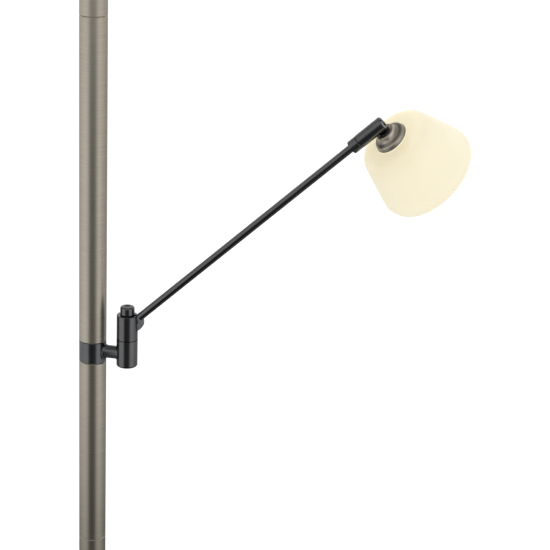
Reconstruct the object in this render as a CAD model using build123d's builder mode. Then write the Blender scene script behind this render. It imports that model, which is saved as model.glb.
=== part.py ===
from build123d import *
import math
import os

# A floor lamp: a round foot, a jointed pole with a glass uplighter bowl at its top, and a reading
# light on a jointed arm. Millimetres, +Z up. The origin is on the floor, on the pole's axis, and
# +X points from the pole to the reading light's bracket.

# ---------------------------------------------------------------------------------------------
# Driving dimensions
# ---------------------------------------------------------------------------------------------

# Clearances
fit_gap = 0.05  # between fixed pieces that fit in each other
running_gap = 0.05  # radial, between a shaft and its bore
face_gap = 0.05  # between flat faces that slide on each other
edge_break = 0.4  # chamfer of turned edges

# Foot
pad_thickness = 2.0
pad_inset = 5.0  # of the pad's edge from the weight's
foot_radius = 145.0
foot_wall = 1.2
foot_rim_clearance = 1.0  # of the cover's edge above the floor
foot_edge_height = 13.0  # where the upright rim meets the slope
foot_edge_round = 3.0
foot_land_height = 21.0  # the flat land that the pole stands on
foot_land_radius = 34.0
weight_side_gap = 2.0
weight_top = 11.5
weight_chamfer = 4.0
weight_boss_radius = 30.0
weight_recess_radius = 26.0
weight_recess_depth = 8.0
cable_channel_width = 9.0
cable_channel_depth = 7.5
grommet_height = 5.6  # of the cable inlet's axis
grommet_neck_radius = 3.0
grommet_flange_radius = 4.2
grommet_flange_thickness = 1.2
grommet_slack = 0.3  # of its groove on the cover's wall
grommet_bore_radius = 2.0

# Hollow M10 tubes, nuts and washers
tie_radius = 5.0
tie_bore_radius = 3.5
tie_stand_out = 1.5  # beyond its nut
nut_flats = 15.0
nut_height = 4.0
washer_radius = 12.0
washer_thickness = 1.6

# Pole
pole_radius = 15.0
pole_wall = 1.5
pole_edge_break = 0.6
lower_joint_height = 497.5
middle_joint_height = 974.0
upper_joint_height = 1572.0
pole_top = 1668.0
foot_plug_height = 22.0
foot_ring_wall = 6.0
foot_ring_height = 7.0
foot_ring_round = 3.0
coupler_length = 56.0
coupler_bore_radius = 9.5
top_plug_height = 20.0

# Reading light bracket: collar, stub and lower half of the swivel barrel in one casting
bracket_height = 1200.0  # of the collar's middle
collar_height = 24.0
collar_edge_break = 0.5
collar_bore_radius = 10.5
spigot_length = 22.0
stub_radius = 7.2
stub_bore_radius = 3.5
stub_collar_round = 2.4
stub_barrel_round = 1.4
barrel_reach = 39.4  # pole axis to barrel axis
barrel_radius = 11.65
barrel_wall = 2.7
barrel_depth = 14.4  # bottom below the collar's middle
barrel_seam = 17.0  # seam above the collar's middle
barrel_rim = 45.4  # rim above the collar's middle
barrel_bottom_round = 2.6
barrel_web = 4.5
seam_gap = 0.5
end_plug_thickness = 3.0

# Swivel inside the barrel
bush_wall = 1.2
bush_flange_radius = 9.4
spindle_flange_thickness = 3.0
swivel_nut_flats = 14.0
swivel_nut_height = 3.0
swivel_washer_radius = 8.0
swivel_washer_thickness = 1.0
spring_height = 1.6
spring_thickness = 0.6

# Dimmer and its knob
knob_radius = 7.9
knob_height = 9.3
knob_gap = 0.5
knob_round = 1.5
knob_bevel = 0.3
knob_dish_radius = 5.4
knob_dish_depth = 0.8
knob_roof = 2.6
shaft_radius = 2.0
shaft_in_dimmer = 3.0
dimmer_radius = 7.4
dimmer_thickness = 4.6
slot_floor_thickness = 2.0

# Tilting knuckles: the arm's and the head's share their screw and washers
pivot_shank_radius = 1.5
pivot_shank_reach = 5.1  # blind end, from the knuckle's middle plane
pivot_head_radius = 1.9
pivot_head_start = 3.7
pivot_head_thickness = 1.5
screw_slot_width = 0.7
screw_slot_depth = 0.7
friction_washer_radius = 4.5
friction_washer_thickness = 0.45
tongue_thickness = 4.4
hub_radius = 5.2
hub_clearance = 0.3  # round the hub, in its slot
wire_radius = 1.2
wire_elbow = 6.3  # from the knuckle's pin to the turn of its cable way

# Arm
arm_elevation = 43.15  # degrees above level, at rest
arm_length = 352.8  # pivot to pivot
pivot_offset = 8.2  # barrel axis to the arm's pivot
pivot_drop = 6.8  # pivot below the barrel's rim
tongue_radius = 10.6
tongue_from = -111.0  # degrees from the rod: the sector of full radius
tongue_to = 24.0
rod_radius = 4.2
rod_wall = 0.75
rod_start = 8.0  # from the pivot
rod_slot_length = 2.2
arm_spigot_setback = 0.2  # of the spigot's start inside the rod
arm_spigot_length = 18.0

# Head barrel at the arm's end
ferrule_radius = 7.3
ferrule_length = 10.3
ferrule_wall = 3.2  # its front wall
head_barrel_radius = 7.55
head_barrel_length = 31.9
head_barrel_nose = 5.6  # end beyond the head's pivot
head_nose_chamfer = 0.6
head_seam_gap = 0.3
head_slot_back = 5.9  # closed side of its slot, from its axis
head_fork_round = 8.05  # its fork's corner on the open side, round the pin
head_spindle_radius = 2.5
head_spindle_bore_radius = 1.5
head_spindle_cap_radius = 3.8
head_spindle_cap = 1.4
head_spindle_depth = 7.0
head_washer_thickness = 0.3
rod_end_room = 1.0

# Head: stem, cap and lamp, measured from the head's pivot along the shade's axis
head_spin = 30.0  # degrees out of the arm's upright plane, at rest
head_tilt = 92.4  # degrees between the arm and the shade's axis, at rest
stem_tongue_width = 8.8
stem_collar_start = 8.2
stem_collar_radius = 6.1
cap_start = 9.3
cap_neck_radius = 10.0
cap_neck_bevel = 0.7
cap_neck_length = 1.6
cap_flare_hollow = 0.35  # of the flare below the neck
cap_waist_radius = 12.6
cap_waist = 15.0
cap_step = 0.6
cap_shoulder_radius = 17.0
cap_shoulder = 17.2
cap_shoulder_round = 1.6
cap_radius = 18.35
cap_end = 21.15
cap_roof = 3.2
cap_cavity_radius = 8.8
cap_recess_radius = 14.6
cap_recess_depth = 2.2
stem_nut_flats = 14.0
stem_nut_height = 3.0
stem_end = 19.6
holder_start = 16.6
holder_entry_depth = 3.2
holder_neck_radius = 8.4
holder_flange_radius = 13.0
holder_flange_thickness = 2.0
holder_radius = 10.5
holder_end = 39.6
holder_socket_radius = 5.2
holder_socket_depth = 13.0
capsule_base_room = 1.0  # under the bulb's base
capsule_gap = 0.5  # above the lampholder's end
capsule_radius = 8.0
capsule_length = 38.0
capsule_round = 6.0
gasket_lip = 1.2  # beyond the cap's edge
gasket_width = 4.0
gasket_thickness = 0.9

# Reading shade, measured from the cap's lower edge along the shade's axis
shade_hole_radius = 11.2
shade_wall = 2.6
shade_shoulder_radius = 38.55
shade_shoulder_round = 11.5
shade_flare_radius = 55.65
shade_flare_length = 60.2
shade_bow = 0.5  # swelling of the flared side
shade_rim_round = 8.5
shade_mouth_radius = 53.3
shade_length = 67.9
shade_ring_radius = 17.0
shade_ring_thickness = 3.0

# Uplighter cup and lamp, measured from the pole's top
cup_neck_radius = 18.5
cup_neck_bevel = 0.8
cup_neck_length = 9.0
cup_waist_radius = 25.0
cup_waist = 24.0
cup_step = 0.8
cup_shoulder_radius = 45.5
cup_shoulder = 32.0
cup_shoulder_round = 2.0
cup_radius = 47.5
cup_height = 42.0
cup_floor = 4.0
cup_cavity_radius = 10.0
cup_well_radius = 20.5
cup_well_floor = 26.0
cup_recess_radius = 40.0
cup_recess_depth = 7.0
uplight_entry_depth = 5.0
uplight_holder_radius = 19.5
uplight_holder_room = 1.0  # above the well's floor
uplight_holder_length = 44.0
uplight_flange_radius = 24.0
uplight_flange_thickness = 2.0
uplight_thread_radius = 13.1
uplight_thread_depth = 23.0
uplight_base_room = 1.0  # under the bulb's base
globe_radius = 27.0
globe_neck_radius = 13.5
globe_gap = 1.0  # above the lampholder's end
globe_height = 59.0  # of the bulb above its lampholder
cup_gasket_lip = 1.5
cup_gasket_width = 8.0
cup_gasket_thickness = 1.2

# Uplighter bowl, measured from its own bottom
bowl_hole_radius = 21.6
bowl_wall = 3.6
bowl_flat_radius = 52.0
bowl_flat_round = 14.0
bowl_radius = 168.0
bowl_height = 98.0
bowl_swell = 17.0  # how far the side bows out
bowl_ring_radius = 29.0
bowl_ring_thickness = 5.0
glass_lip_round = 1.2  # of both glasses' edges

# ---------------------------------------------------------------------------------------------
# Sizes worked out from the driving ones
# ---------------------------------------------------------------------------------------------

pole_bore_radius = pole_radius - pole_wall
plug_radius = pole_bore_radius - fit_gap
tie_hole_radius = tie_radius + fit_gap

weight_radius = foot_radius - foot_wall - weight_side_gap
weight_boss_top = foot_land_height - foot_wall - fit_gap
recess_ceiling = pad_thickness + weight_recess_depth
foot_nut_bottom = recess_ceiling - washer_thickness - nut_height - 2 * fit_gap

collar_bottom = bracket_height - collar_height / 2
collar_top = bracket_height + collar_height / 2
barrel_cavity_radius = barrel_radius - barrel_wall
barrel_bottom = bracket_height - barrel_depth
seam_height = bracket_height + barrel_seam
web_bottom = seam_height - barrel_web
upper_barrel_bottom = seam_height + seam_gap
rim_height = bracket_height + barrel_rim
spindle_bore_radius = tie_radius + running_gap
bush_radius = spindle_bore_radius + bush_wall
spring_top = web_bottom - face_gap - swivel_washer_thickness - face_gap
swivel_nut_top = spring_top - spring_height - face_gap
spindle_bottom = swivel_nut_top - swivel_nut_height - tie_stand_out

pivot_x = barrel_reach + pivot_offset
pivot_height = rim_height - pivot_drop
slot_width = tongue_thickness + 2 * (friction_washer_thickness + 2 * face_gap)
arm_slot_floor = pivot_height - tongue_radius - hub_clearance
arm_slot_back = pivot_offset - hub_radius - hub_clearance
dimmer_ceiling = arm_slot_floor - slot_floor_thickness
dimmer_top = dimmer_ceiling - fit_gap
shaft_bottom = dimmer_top - shaft_in_dimmer
knob_bottom = rim_height + knob_gap
shaft_top = knob_bottom + knob_height - knob_roof

rod_bore_radius = rod_radius - rod_wall
spigot_radius = rod_bore_radius - fit_gap
ferrule_end = arm_length + head_barrel_nose - head_barrel_length - head_seam_gap
ferrule_start = ferrule_end - ferrule_length
ferrule_step = ferrule_end - ferrule_wall
head_washer_start = ferrule_step - face_gap - head_washer_thickness
head_spindle_start = head_washer_start - face_gap - head_spindle_cap
rod_end = head_spindle_start - rod_end_room
head_barrel_start = ferrule_end + head_seam_gap
head_barrel_end = arm_length + head_barrel_nose
head_slot_floor = arm_length - hub_radius - hub_clearance

stem_nut_start = cap_start + cap_roof + fit_gap
cap_recess_floor = cap_end - cap_recess_depth
holder_flange_start = cap_recess_floor + fit_gap
gasket_radius = cap_radius + gasket_lip

cup_nut_bottom = cup_floor + fit_gap
uplight_holder_bottom = cup_well_floor + uplight_holder_room
uplight_holder_top = uplight_holder_bottom + uplight_holder_length
uplight_tie_top = uplight_holder_bottom + uplight_entry_depth - fit_gap
cup_recess_floor = cup_height - cup_recess_depth
bowl_bottom = cup_height + cup_gasket_thickness

# ---------------------------------------------------------------------------------------------
# Frames: each is a plane whose z axis is the axis that its pieces are turned about
# ---------------------------------------------------------------------------------------------


def section(frame):
    """The plane through a frame's axis in which profiles are drawn: x is radius, y is length."""
    return Plane(origin=frame.origin, x_dir=frame.x_dir, z_dir=-frame.y_dir)


def axis_of(frame):
    """A frame's own axis, which its pieces are turned about."""
    return Axis(frame.origin, frame.z_dir)


elevation = math.radians(arm_elevation)
spin = math.radians(head_spin)
tilt = math.radians(head_tilt)

across = Vector(0, 1, 0)
arm_direction = Vector(math.cos(elevation), 0, math.sin(elevation))
hanging_direction = Vector(math.sin(elevation), 0, -math.cos(elevation))
bend_direction = hanging_direction * math.cos(spin) + across * math.sin(spin)
head_pin_direction = arm_direction.cross(bend_direction)
shade_direction = arm_direction * math.cos(tilt) + bend_direction * math.sin(tilt)

pivot = Vector(pivot_x, 0, pivot_height)
head_pivot = pivot + arm_direction * arm_length

floor = Plane.XY
barrel_axis = Plane(origin=(barrel_reach, 0, 0))
stub_axis = Plane(origin=(0, 0, bracket_height), x_dir=(0, 1, 0), z_dir=(1, 0, 0))
inlet_axis = Plane(origin=(0, 0, grommet_height), x_dir=(0, 1, 0), z_dir=(-1, 0, 0))
arm_pin = Plane(origin=pivot, x_dir=(1, 0, 0), z_dir=across)
arm_side = Plane(origin=pivot, x_dir=arm_direction, z_dir=-across)
arm_axis = Plane(origin=pivot, x_dir=across, z_dir=arm_direction)
head_pin = Plane(origin=head_pivot, x_dir=arm_direction, z_dir=head_pin_direction)
stem_side = Plane(origin=head_pivot, x_dir=shade_direction, z_dir=head_pin_direction)
head_axis = Plane(origin=head_pivot, x_dir=head_pin_direction, z_dir=shade_direction)
shade_axis = head_axis.offset(cap_end)
uplight_axis = Plane.XY.offset(pole_top)


def corner_at(radius, length):
    """The corner of the profile being drawn that lies nearest to a point."""
    return vertices().sort_by_distance((radius, length, 0))[0]


# ---------------------------------------------------------------------------------------------
# Foot
# ---------------------------------------------------------------------------------------------

with BuildPart() as foot_pad:
    with BuildSketch(floor):
        Circle(foot_radius - pad_inset)
    extrude(amount=pad_thickness)

with BuildPart() as foot_weight:
    with BuildSketch(section(floor)):
        with BuildLine():
            Polyline(
                (tie_hole_radius, recess_ceiling),
                (weight_recess_radius, recess_ceiling),
                (weight_recess_radius, pad_thickness),
                (weight_radius, pad_thickness),
                (weight_radius, weight_top),
                (weight_boss_radius, weight_top),
                (weight_boss_radius, weight_boss_top),
                (tie_hole_radius, weight_boss_top),
                close=True,
            )
        make_face()
        chamfer(corner_at(weight_radius, weight_top), length=weight_chamfer)
    revolve(axis=axis_of(floor))
    with BuildSketch(floor.offset(pad_thickness)):
        Rectangle(foot_radius, cable_channel_width, align=(Align.MAX, Align.CENTER))
    extrude(amount=cable_channel_depth, mode=Mode.SUBTRACT)

with BuildPart() as foot_cover:
    with BuildSketch(section(floor)):
        with BuildLine():
            Polyline(
                (tie_hole_radius, foot_land_height),
                (foot_land_radius, foot_land_height),
                (foot_radius, foot_edge_height),
                (foot_radius, foot_rim_clearance),
                (foot_radius - foot_wall, foot_rim_clearance),
                (foot_radius - foot_wall, foot_edge_height - foot_wall),
                (foot_land_radius, foot_land_height - foot_wall),
                (tie_hole_radius, foot_land_height - foot_wall),
                close=True,
            )
        make_face()
        fillet(corner_at(foot_radius, foot_edge_height), radius=foot_edge_round)
        inner_edge = corner_at(foot_radius - foot_wall, foot_edge_height - foot_wall)
        fillet(inner_edge, radius=foot_edge_round - foot_wall)
    revolve(axis=axis_of(floor))
    with BuildSketch(inlet_axis.offset(weight_radius)):
        Circle(grommet_neck_radius + fit_gap)
    extrude(amount=foot_radius, mode=Mode.SUBTRACT)

grommet_neck_end = foot_radius + grommet_slack / 2
grommet_neck_start = foot_radius - foot_wall - grommet_slack / 2

with BuildPart() as cable_grommet:
    with BuildSketch(section(inlet_axis)):
        with BuildLine():
            Polyline(
                (grommet_bore_radius, grommet_neck_start - grommet_flange_thickness),
                (grommet_flange_radius, grommet_neck_start - grommet_flange_thickness),
                (grommet_flange_radius, grommet_neck_start),
                (grommet_neck_radius, grommet_neck_start),
                (grommet_neck_radius, grommet_neck_end),
                (grommet_flange_radius, grommet_neck_end),
                (grommet_flange_radius, grommet_neck_end + grommet_flange_thickness),
                (grommet_bore_radius, grommet_neck_end + grommet_flange_thickness),
                close=True,
            )
        make_face()
        outer_edge = corner_at(grommet_flange_radius, grommet_neck_end + grommet_flange_thickness)
        fillet(outer_edge, radius=edge_break)
    revolve(axis=axis_of(inlet_axis))

foot_plug_bottom = foot_land_height + fit_gap
foot_plug_top = foot_plug_bottom + foot_plug_height

with BuildPart() as foot_plug:
    with BuildSketch(floor.offset(foot_plug_bottom)):
        Circle(plug_radius)
        Circle(tie_hole_radius, mode=Mode.SUBTRACT)
    extrude(amount=foot_plug_height)

with BuildPart() as foot_tie:
    with BuildSketch(floor.offset(foot_nut_bottom - tie_stand_out)):
        Circle(tie_radius)
        Circle(tie_bore_radius, mode=Mode.SUBTRACT)
    extrude(amount=foot_plug_top - foot_nut_bottom + 2 * tie_stand_out)

with BuildPart() as foot_nut:
    with BuildSketch(floor.offset(foot_nut_bottom)):
        RegularPolygon(radius=nut_flats / 2, side_count=6, major_radius=False)
        Circle(tie_hole_radius, mode=Mode.SUBTRACT)
    extrude(amount=nut_height)

with BuildPart() as foot_washer:
    with BuildSketch(floor.offset(foot_nut_bottom + nut_height + fit_gap)):
        Circle(washer_radius)
        Circle(tie_hole_radius, mode=Mode.SUBTRACT)
    extrude(amount=washer_thickness)

with BuildPart() as foot_ring:
    with BuildSketch(section(floor)):
        with BuildLine():
            Polyline(
                (pole_radius + fit_gap, foot_plug_bottom),
                (pole_radius + foot_ring_wall, foot_plug_bottom),
                (pole_radius + foot_ring_wall, foot_plug_bottom + foot_ring_height),
                (pole_radius + fit_gap, foot_plug_bottom + foot_ring_height),
                close=True,
            )
        make_face()
        ring_edge = corner_at(pole_radius + foot_ring_wall, foot_plug_bottom + foot_ring_height)
        fillet(ring_edge, radius=foot_ring_round)
    revolve(axis=axis_of(floor))

# ---------------------------------------------------------------------------------------------
# Pole
# ---------------------------------------------------------------------------------------------

lower_tube_bottom = foot_plug_bottom
lower_tube_length = lower_joint_height - lower_tube_bottom

with BuildPart() as lower_tube:
    with BuildSketch(floor.offset(lower_tube_bottom)):
        Circle(pole_radius)
    extrude(amount=lower_tube_length)
    chamfer(edges().group_by(Axis.Z)[0], length=pole_edge_break)
    chamfer(edges().group_by(Axis.Z)[-1], length=pole_edge_break)
    with BuildSketch(floor.offset(lower_tube_bottom)):
        Circle(pole_bore_radius)
    extrude(amount=lower_tube_length, mode=Mode.SUBTRACT)

middle_tube_bottom = lower_joint_height + fit_gap
middle_tube_length = middle_joint_height - middle_tube_bottom

with BuildPart() as middle_tube:
    with BuildSketch(floor.offset(middle_tube_bottom)):
        Circle(pole_radius)
    extrude(amount=middle_tube_length)
    chamfer(edges().group_by(Axis.Z)[0], length=pole_edge_break)
    chamfer(edges().group_by(Axis.Z)[-1], length=pole_edge_break)
    with BuildSketch(floor.offset(middle_tube_bottom)):
        Circle(pole_bore_radius)
    extrude(amount=middle_tube_length, mode=Mode.SUBTRACT)

bracket_lower_tube_bottom = middle_joint_height + fit_gap
bracket_lower_tube_length = collar_bottom - fit_gap - bracket_lower_tube_bottom

with BuildPart() as bracket_lower_tube:
    with BuildSketch(floor.offset(bracket_lower_tube_bottom)):
        Circle(pole_radius)
    extrude(amount=bracket_lower_tube_length)
    chamfer(edges().group_by(Axis.Z)[0], length=pole_edge_break)
    chamfer(edges().group_by(Axis.Z)[-1], length=pole_edge_break)
    with BuildSketch(floor.offset(bracket_lower_tube_bottom)):
        Circle(pole_bore_radius)
    extrude(amount=bracket_lower_tube_length, mode=Mode.SUBTRACT)

bracket_upper_tube_bottom = collar_top + fit_gap
bracket_upper_tube_length = upper_joint_height - bracket_upper_tube_bottom

with BuildPart() as bracket_upper_tube:
    with BuildSketch(floor.offset(bracket_upper_tube_bottom)):
        Circle(pole_radius)
    extrude(amount=bracket_upper_tube_length)
    chamfer(edges().group_by(Axis.Z)[0], length=pole_edge_break)
    chamfer(edges().group_by(Axis.Z)[-1], length=pole_edge_break)
    with BuildSketch(floor.offset(bracket_upper_tube_bottom)):
        Circle(pole_bore_radius)
    extrude(amount=bracket_upper_tube_length, mode=Mode.SUBTRACT)

top_tube_bottom = upper_joint_height + fit_gap
top_tube_length = pole_top - top_tube_bottom

with BuildPart() as top_tube:
    with BuildSketch(floor.offset(top_tube_bottom)):
        Circle(pole_radius)
    extrude(amount=top_tube_length)
    chamfer(edges().group_by(Axis.Z)[0], length=pole_edge_break)
    chamfer(edges().group_by(Axis.Z)[-1], length=pole_edge_break)
    with BuildSketch(floor.offset(top_tube_bottom)):
        Circle(pole_bore_radius)
    extrude(amount=top_tube_length, mode=Mode.SUBTRACT)

with BuildPart() as tube_couplers:
    for joint_height in (lower_joint_height, middle_joint_height, upper_joint_height):
        with BuildSketch(floor.offset(joint_height - coupler_length / 2)):
            Circle(plug_radius)
            Circle(coupler_bore_radius, mode=Mode.SUBTRACT)
        extrude(amount=coupler_length)

with BuildPart() as top_plug:
    with BuildSketch(floor.offset(pole_top - top_plug_height)):
        Circle(plug_radius)
        Circle(tie_hole_radius, mode=Mode.SUBTRACT)
    extrude(amount=top_plug_height)

# ---------------------------------------------------------------------------------------------
# Reading light bracket
# ---------------------------------------------------------------------------------------------

with BuildPart() as pole_bracket:
    with BuildSketch(floor.offset(collar_bottom)):
        Circle(pole_radius)
    extrude(amount=collar_height)
    chamfer(edges().group_by(Axis.Z)[0], length=collar_edge_break)
    chamfer(edges().group_by(Axis.Z)[-1], length=collar_edge_break)
    with BuildSketch(barrel_axis.offset(barrel_bottom)):
        Circle(barrel_radius)
    extrude(amount=seam_height - barrel_bottom)
    fillet(edges().group_by(Axis.Z)[0], radius=barrel_bottom_round)
    with BuildSketch(stub_axis):
        Circle(stub_radius)
    extrude(amount=barrel_reach)
    collar_crossing = edges().filter_by(GeomType.BSPLINE).filter_by_position(Axis.X, 0, pole_radius)
    fillet(collar_crossing, radius=stub_collar_round)
    barrel_side = barrel_reach - barrel_radius
    crossings = edges().filter_by(GeomType.BSPLINE)
    barrel_crossing = crossings.filter_by_position(Axis.X, barrel_side, barrel_reach)
    fillet(barrel_crossing, radius=stub_barrel_round)
    with BuildSketch(floor.offset(collar_bottom - spigot_length)):
        Circle(plug_radius)
    extrude(amount=collar_height + 2 * spigot_length)
    with BuildSketch(floor.offset(collar_bottom - spigot_length)):
        Circle(collar_bore_radius)
    extrude(amount=collar_height + 2 * spigot_length, mode=Mode.SUBTRACT)
    with BuildSketch(barrel_axis.offset(barrel_bottom)):
        Circle(barrel_cavity_radius)
    extrude(amount=web_bottom - barrel_bottom, mode=Mode.SUBTRACT)
    with BuildSketch(barrel_axis.offset(web_bottom)):
        Circle(bush_radius + fit_gap)
    extrude(amount=barrel_web, mode=Mode.SUBTRACT)
    with BuildSketch(stub_axis):
        Circle(stub_bore_radius)
    extrude(amount=barrel_reach, mode=Mode.SUBTRACT)

with BuildPart() as barrel_plug:
    with BuildSketch(barrel_axis.offset(barrel_bottom)):
        Circle(barrel_cavity_radius - fit_gap)
    extrude(amount=end_plug_thickness)
    chamfer(edges().group_by(Axis.Z)[0], length=edge_break)

with BuildPart() as swivel_bush:
    with BuildSketch(barrel_axis.offset(web_bottom)):
        Circle(bush_radius)
    extrude(amount=barrel_web + fit_gap)
    with BuildSketch(barrel_axis.offset(seam_height + fit_gap)):
        Circle(bush_flange_radius)
    extrude(amount=seam_gap - fit_gap - face_gap)
    with BuildSketch(barrel_axis.offset(web_bottom)):
        Circle(spindle_bore_radius)
    extrude(amount=barrel_web + seam_gap, mode=Mode.SUBTRACT)

# ---------------------------------------------------------------------------------------------
# Swivel: the barrel's upper half and what turns with it
# ---------------------------------------------------------------------------------------------

slot_box_height = rim_height - arm_slot_floor

with BuildPart() as upper_barrel:
    with BuildSketch(barrel_axis.offset(upper_barrel_bottom)):
        Circle(barrel_radius)
    extrude(amount=rim_height - upper_barrel_bottom)
    chamfer(edges().group_by(Axis.Z)[0], length=edge_break)
    chamfer(edges().group_by(Axis.Z)[-1], length=edge_break)
    with BuildSketch(barrel_axis.offset(upper_barrel_bottom)):
        Circle(barrel_cavity_radius)
    extrude(amount=dimmer_ceiling - upper_barrel_bottom, mode=Mode.SUBTRACT)
    with BuildSketch(barrel_axis.offset(dimmer_ceiling)):
        Circle(shaft_radius + running_gap)
    extrude(amount=rim_height - dimmer_ceiling, mode=Mode.SUBTRACT)
    with BuildSketch(barrel_axis.offset(arm_slot_floor)):
        with Locations((arm_slot_back, 0)):
            Rectangle(barrel_radius, slot_width, align=(Align.MIN, Align.CENTER))
    extrude(amount=slot_box_height, mode=Mode.SUBTRACT)
    with BuildSketch(barrel_axis.offset(dimmer_ceiling)):
        with Locations((wire_elbow, 0)):
            Circle(wire_radius)
    extrude(amount=slot_floor_thickness, mode=Mode.SUBTRACT)
    with BuildSketch(arm_pin.offset(-pivot_shank_reach - fit_gap)):
        Circle(pivot_shank_radius + fit_gap)
    extrude(amount=pivot_shank_reach + pivot_head_start, mode=Mode.SUBTRACT)
    with BuildSketch(arm_pin.offset(pivot_head_start - fit_gap)):
        Circle(pivot_head_radius + fit_gap)
    extrude(amount=barrel_radius, mode=Mode.SUBTRACT)

with BuildPart() as swivel_spindle:
    with BuildSketch(barrel_axis.offset(upper_barrel_bottom)):
        Circle(barrel_cavity_radius - fit_gap)
    extrude(amount=spindle_flange_thickness)
    with BuildSketch(barrel_axis.offset(spindle_bottom)):
        Circle(tie_radius)
    extrude(amount=upper_barrel_bottom - spindle_bottom)
    with BuildSketch(barrel_axis.offset(spindle_bottom)):
        Circle(tie_bore_radius)
    extrude(amount=barrel_rim, mode=Mode.SUBTRACT)

with BuildPart() as swivel_washer:
    with BuildSketch(barrel_axis.offset(web_bottom - face_gap - swivel_washer_thickness)):
        Circle(swivel_washer_radius)
        Circle(tie_hole_radius, mode=Mode.SUBTRACT)
    extrude(amount=swivel_washer_thickness)

with BuildPart() as swivel_spring:
    with BuildSketch(section(barrel_axis)):
        with BuildLine():
            Polyline(
                (tie_hole_radius, spring_top - spring_thickness),
                (swivel_washer_radius, spring_top - spring_height),
                (swivel_washer_radius, spring_top - spring_height + spring_thickness),
                (tie_hole_radius, spring_top),
                close=True,
            )
        make_face()
    revolve(axis=axis_of(barrel_axis))

with BuildPart() as swivel_nut:
    with BuildSketch(barrel_axis.offset(swivel_nut_top - swivel_nut_height)):
        RegularPolygon(radius=swivel_nut_flats / 2, side_count=6, major_radius=False)
        Circle(tie_hole_radius, mode=Mode.SUBTRACT)
    extrude(amount=swivel_nut_height)

with BuildPart() as dimmer_module:
    with BuildSketch(barrel_axis.offset(dimmer_top - dimmer_thickness)):
        Circle(dimmer_radius)
    extrude(amount=dimmer_thickness)
    with BuildSketch(barrel_axis.offset(shaft_bottom - face_gap)):
        Circle(shaft_radius + running_gap)
    extrude(amount=dimmer_thickness, mode=Mode.SUBTRACT)

with BuildPart() as arm_pivot_screw:
    with BuildSketch(arm_pin.offset(-pivot_shank_reach)):
        Circle(pivot_shank_radius)
    extrude(amount=pivot_shank_reach + pivot_head_start)
    with BuildSketch(arm_pin.offset(pivot_head_start)):
        Circle(pivot_head_radius)
    extrude(amount=pivot_head_thickness)
    with BuildSketch(arm_pin.offset(pivot_head_start + pivot_head_thickness - screw_slot_depth)):
        Rectangle(2 * pivot_head_radius, screw_slot_width)
    extrude(amount=screw_slot_depth, mode=Mode.SUBTRACT)

washer_start = tongue_thickness / 2 + face_gap

with BuildPart() as arm_friction_washers:
    with BuildSketch(arm_pin.offset(washer_start)):
        Circle(friction_washer_radius)
        Circle(pivot_shank_radius + fit_gap, mode=Mode.SUBTRACT)
    extrude(amount=friction_washer_thickness)
    with BuildSketch(arm_pin.offset(-washer_start)):
        Circle(friction_washer_radius)
        Circle(pivot_shank_radius + fit_gap, mode=Mode.SUBTRACT)
    extrude(amount=-friction_washer_thickness)

# ---------------------------------------------------------------------------------------------
# Dimmer's knob and shaft
# ---------------------------------------------------------------------------------------------

knob_top = knob_bottom + knob_height

with BuildPart() as dimmer_shaft:
    with BuildSketch(barrel_axis.offset(shaft_bottom)):
        Circle(shaft_radius)
    extrude(amount=shaft_top - shaft_bottom)

with BuildPart() as dimmer_knob:
    with BuildSketch(section(barrel_axis)):
        with BuildLine():
            Polyline(
                (shaft_radius + fit_gap, knob_bottom),
                (knob_radius, knob_bottom),
                (knob_radius, knob_top),
                (knob_dish_radius, knob_top),
                (0, knob_top - knob_dish_depth),
                (0, shaft_top + fit_gap),
                (shaft_radius + fit_gap, shaft_top + fit_gap),
                close=True,
            )
        make_face()
        fillet(corner_at(knob_radius, knob_top), radius=knob_round)
        chamfer(corner_at(knob_radius, knob_bottom), length=knob_bevel)
    revolve(axis=axis_of(barrel_axis))

# ---------------------------------------------------------------------------------------------
# Arm
# ---------------------------------------------------------------------------------------------

arm_spigot_start = rod_start + arm_spigot_setback
tongue_sweep = tongue_to - tongue_from
arm_wire_exit = Plane(
    origin=pivot + arm_direction * wire_elbow, x_dir=across, z_dir=hanging_direction
)

with BuildPart() as arm_knuckle:
    with BuildSketch(arm_side):
        with BuildLine():
            sector_arc = CenterArc((0, 0), tongue_radius, tongue_from, tongue_sweep)
            Line(sector_arc @ 1, (0, 0))
            Line((0, 0), sector_arc @ 0)
        make_face()
        Circle(hub_radius)
        Circle(pivot_shank_radius + running_gap, mode=Mode.SUBTRACT)
    extrude(amount=tongue_thickness / 2, both=True)
    with BuildSketch(arm_axis.offset(arm_spigot_start)):
        Circle(spigot_radius)
    extrude(amount=arm_spigot_length)
    with BuildSketch(arm_axis.offset(wire_elbow)):
        Circle(wire_radius)
    extrude(amount=arm_spigot_start + arm_spigot_length, mode=Mode.SUBTRACT)
    with BuildSketch(arm_wire_exit):
        Circle(wire_radius)
    extrude(amount=tongue_radius, mode=Mode.SUBTRACT)

with BuildPart() as arm_rod:
    with BuildSketch(arm_axis.offset(rod_start)):
        Circle(rod_radius)
        Circle(rod_bore_radius, mode=Mode.SUBTRACT)
    extrude(amount=rod_end - rod_start)
    with BuildSketch(arm_axis.offset(rod_start)):
        Rectangle(tongue_thickness + 2 * fit_gap, 2 * rod_radius)
    extrude(amount=rod_slot_length, mode=Mode.SUBTRACT)

with BuildPart() as rod_ferrule:
    with BuildSketch(section(arm_axis)):
        with BuildLine():
            Polyline(
                (rod_radius + fit_gap, ferrule_start),
                (ferrule_radius, ferrule_start),
                (ferrule_radius, ferrule_end),
                (head_spindle_radius + running_gap, ferrule_end),
                (head_spindle_radius + running_gap, ferrule_step),
                (rod_radius + fit_gap, ferrule_step),
                close=True,
            )
        make_face()
        chamfer(corner_at(ferrule_radius, ferrule_start), length=head_nose_chamfer)
        chamfer(corner_at(ferrule_radius, ferrule_end), length=edge_break)
    revolve(axis=axis_of(arm_axis))

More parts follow.
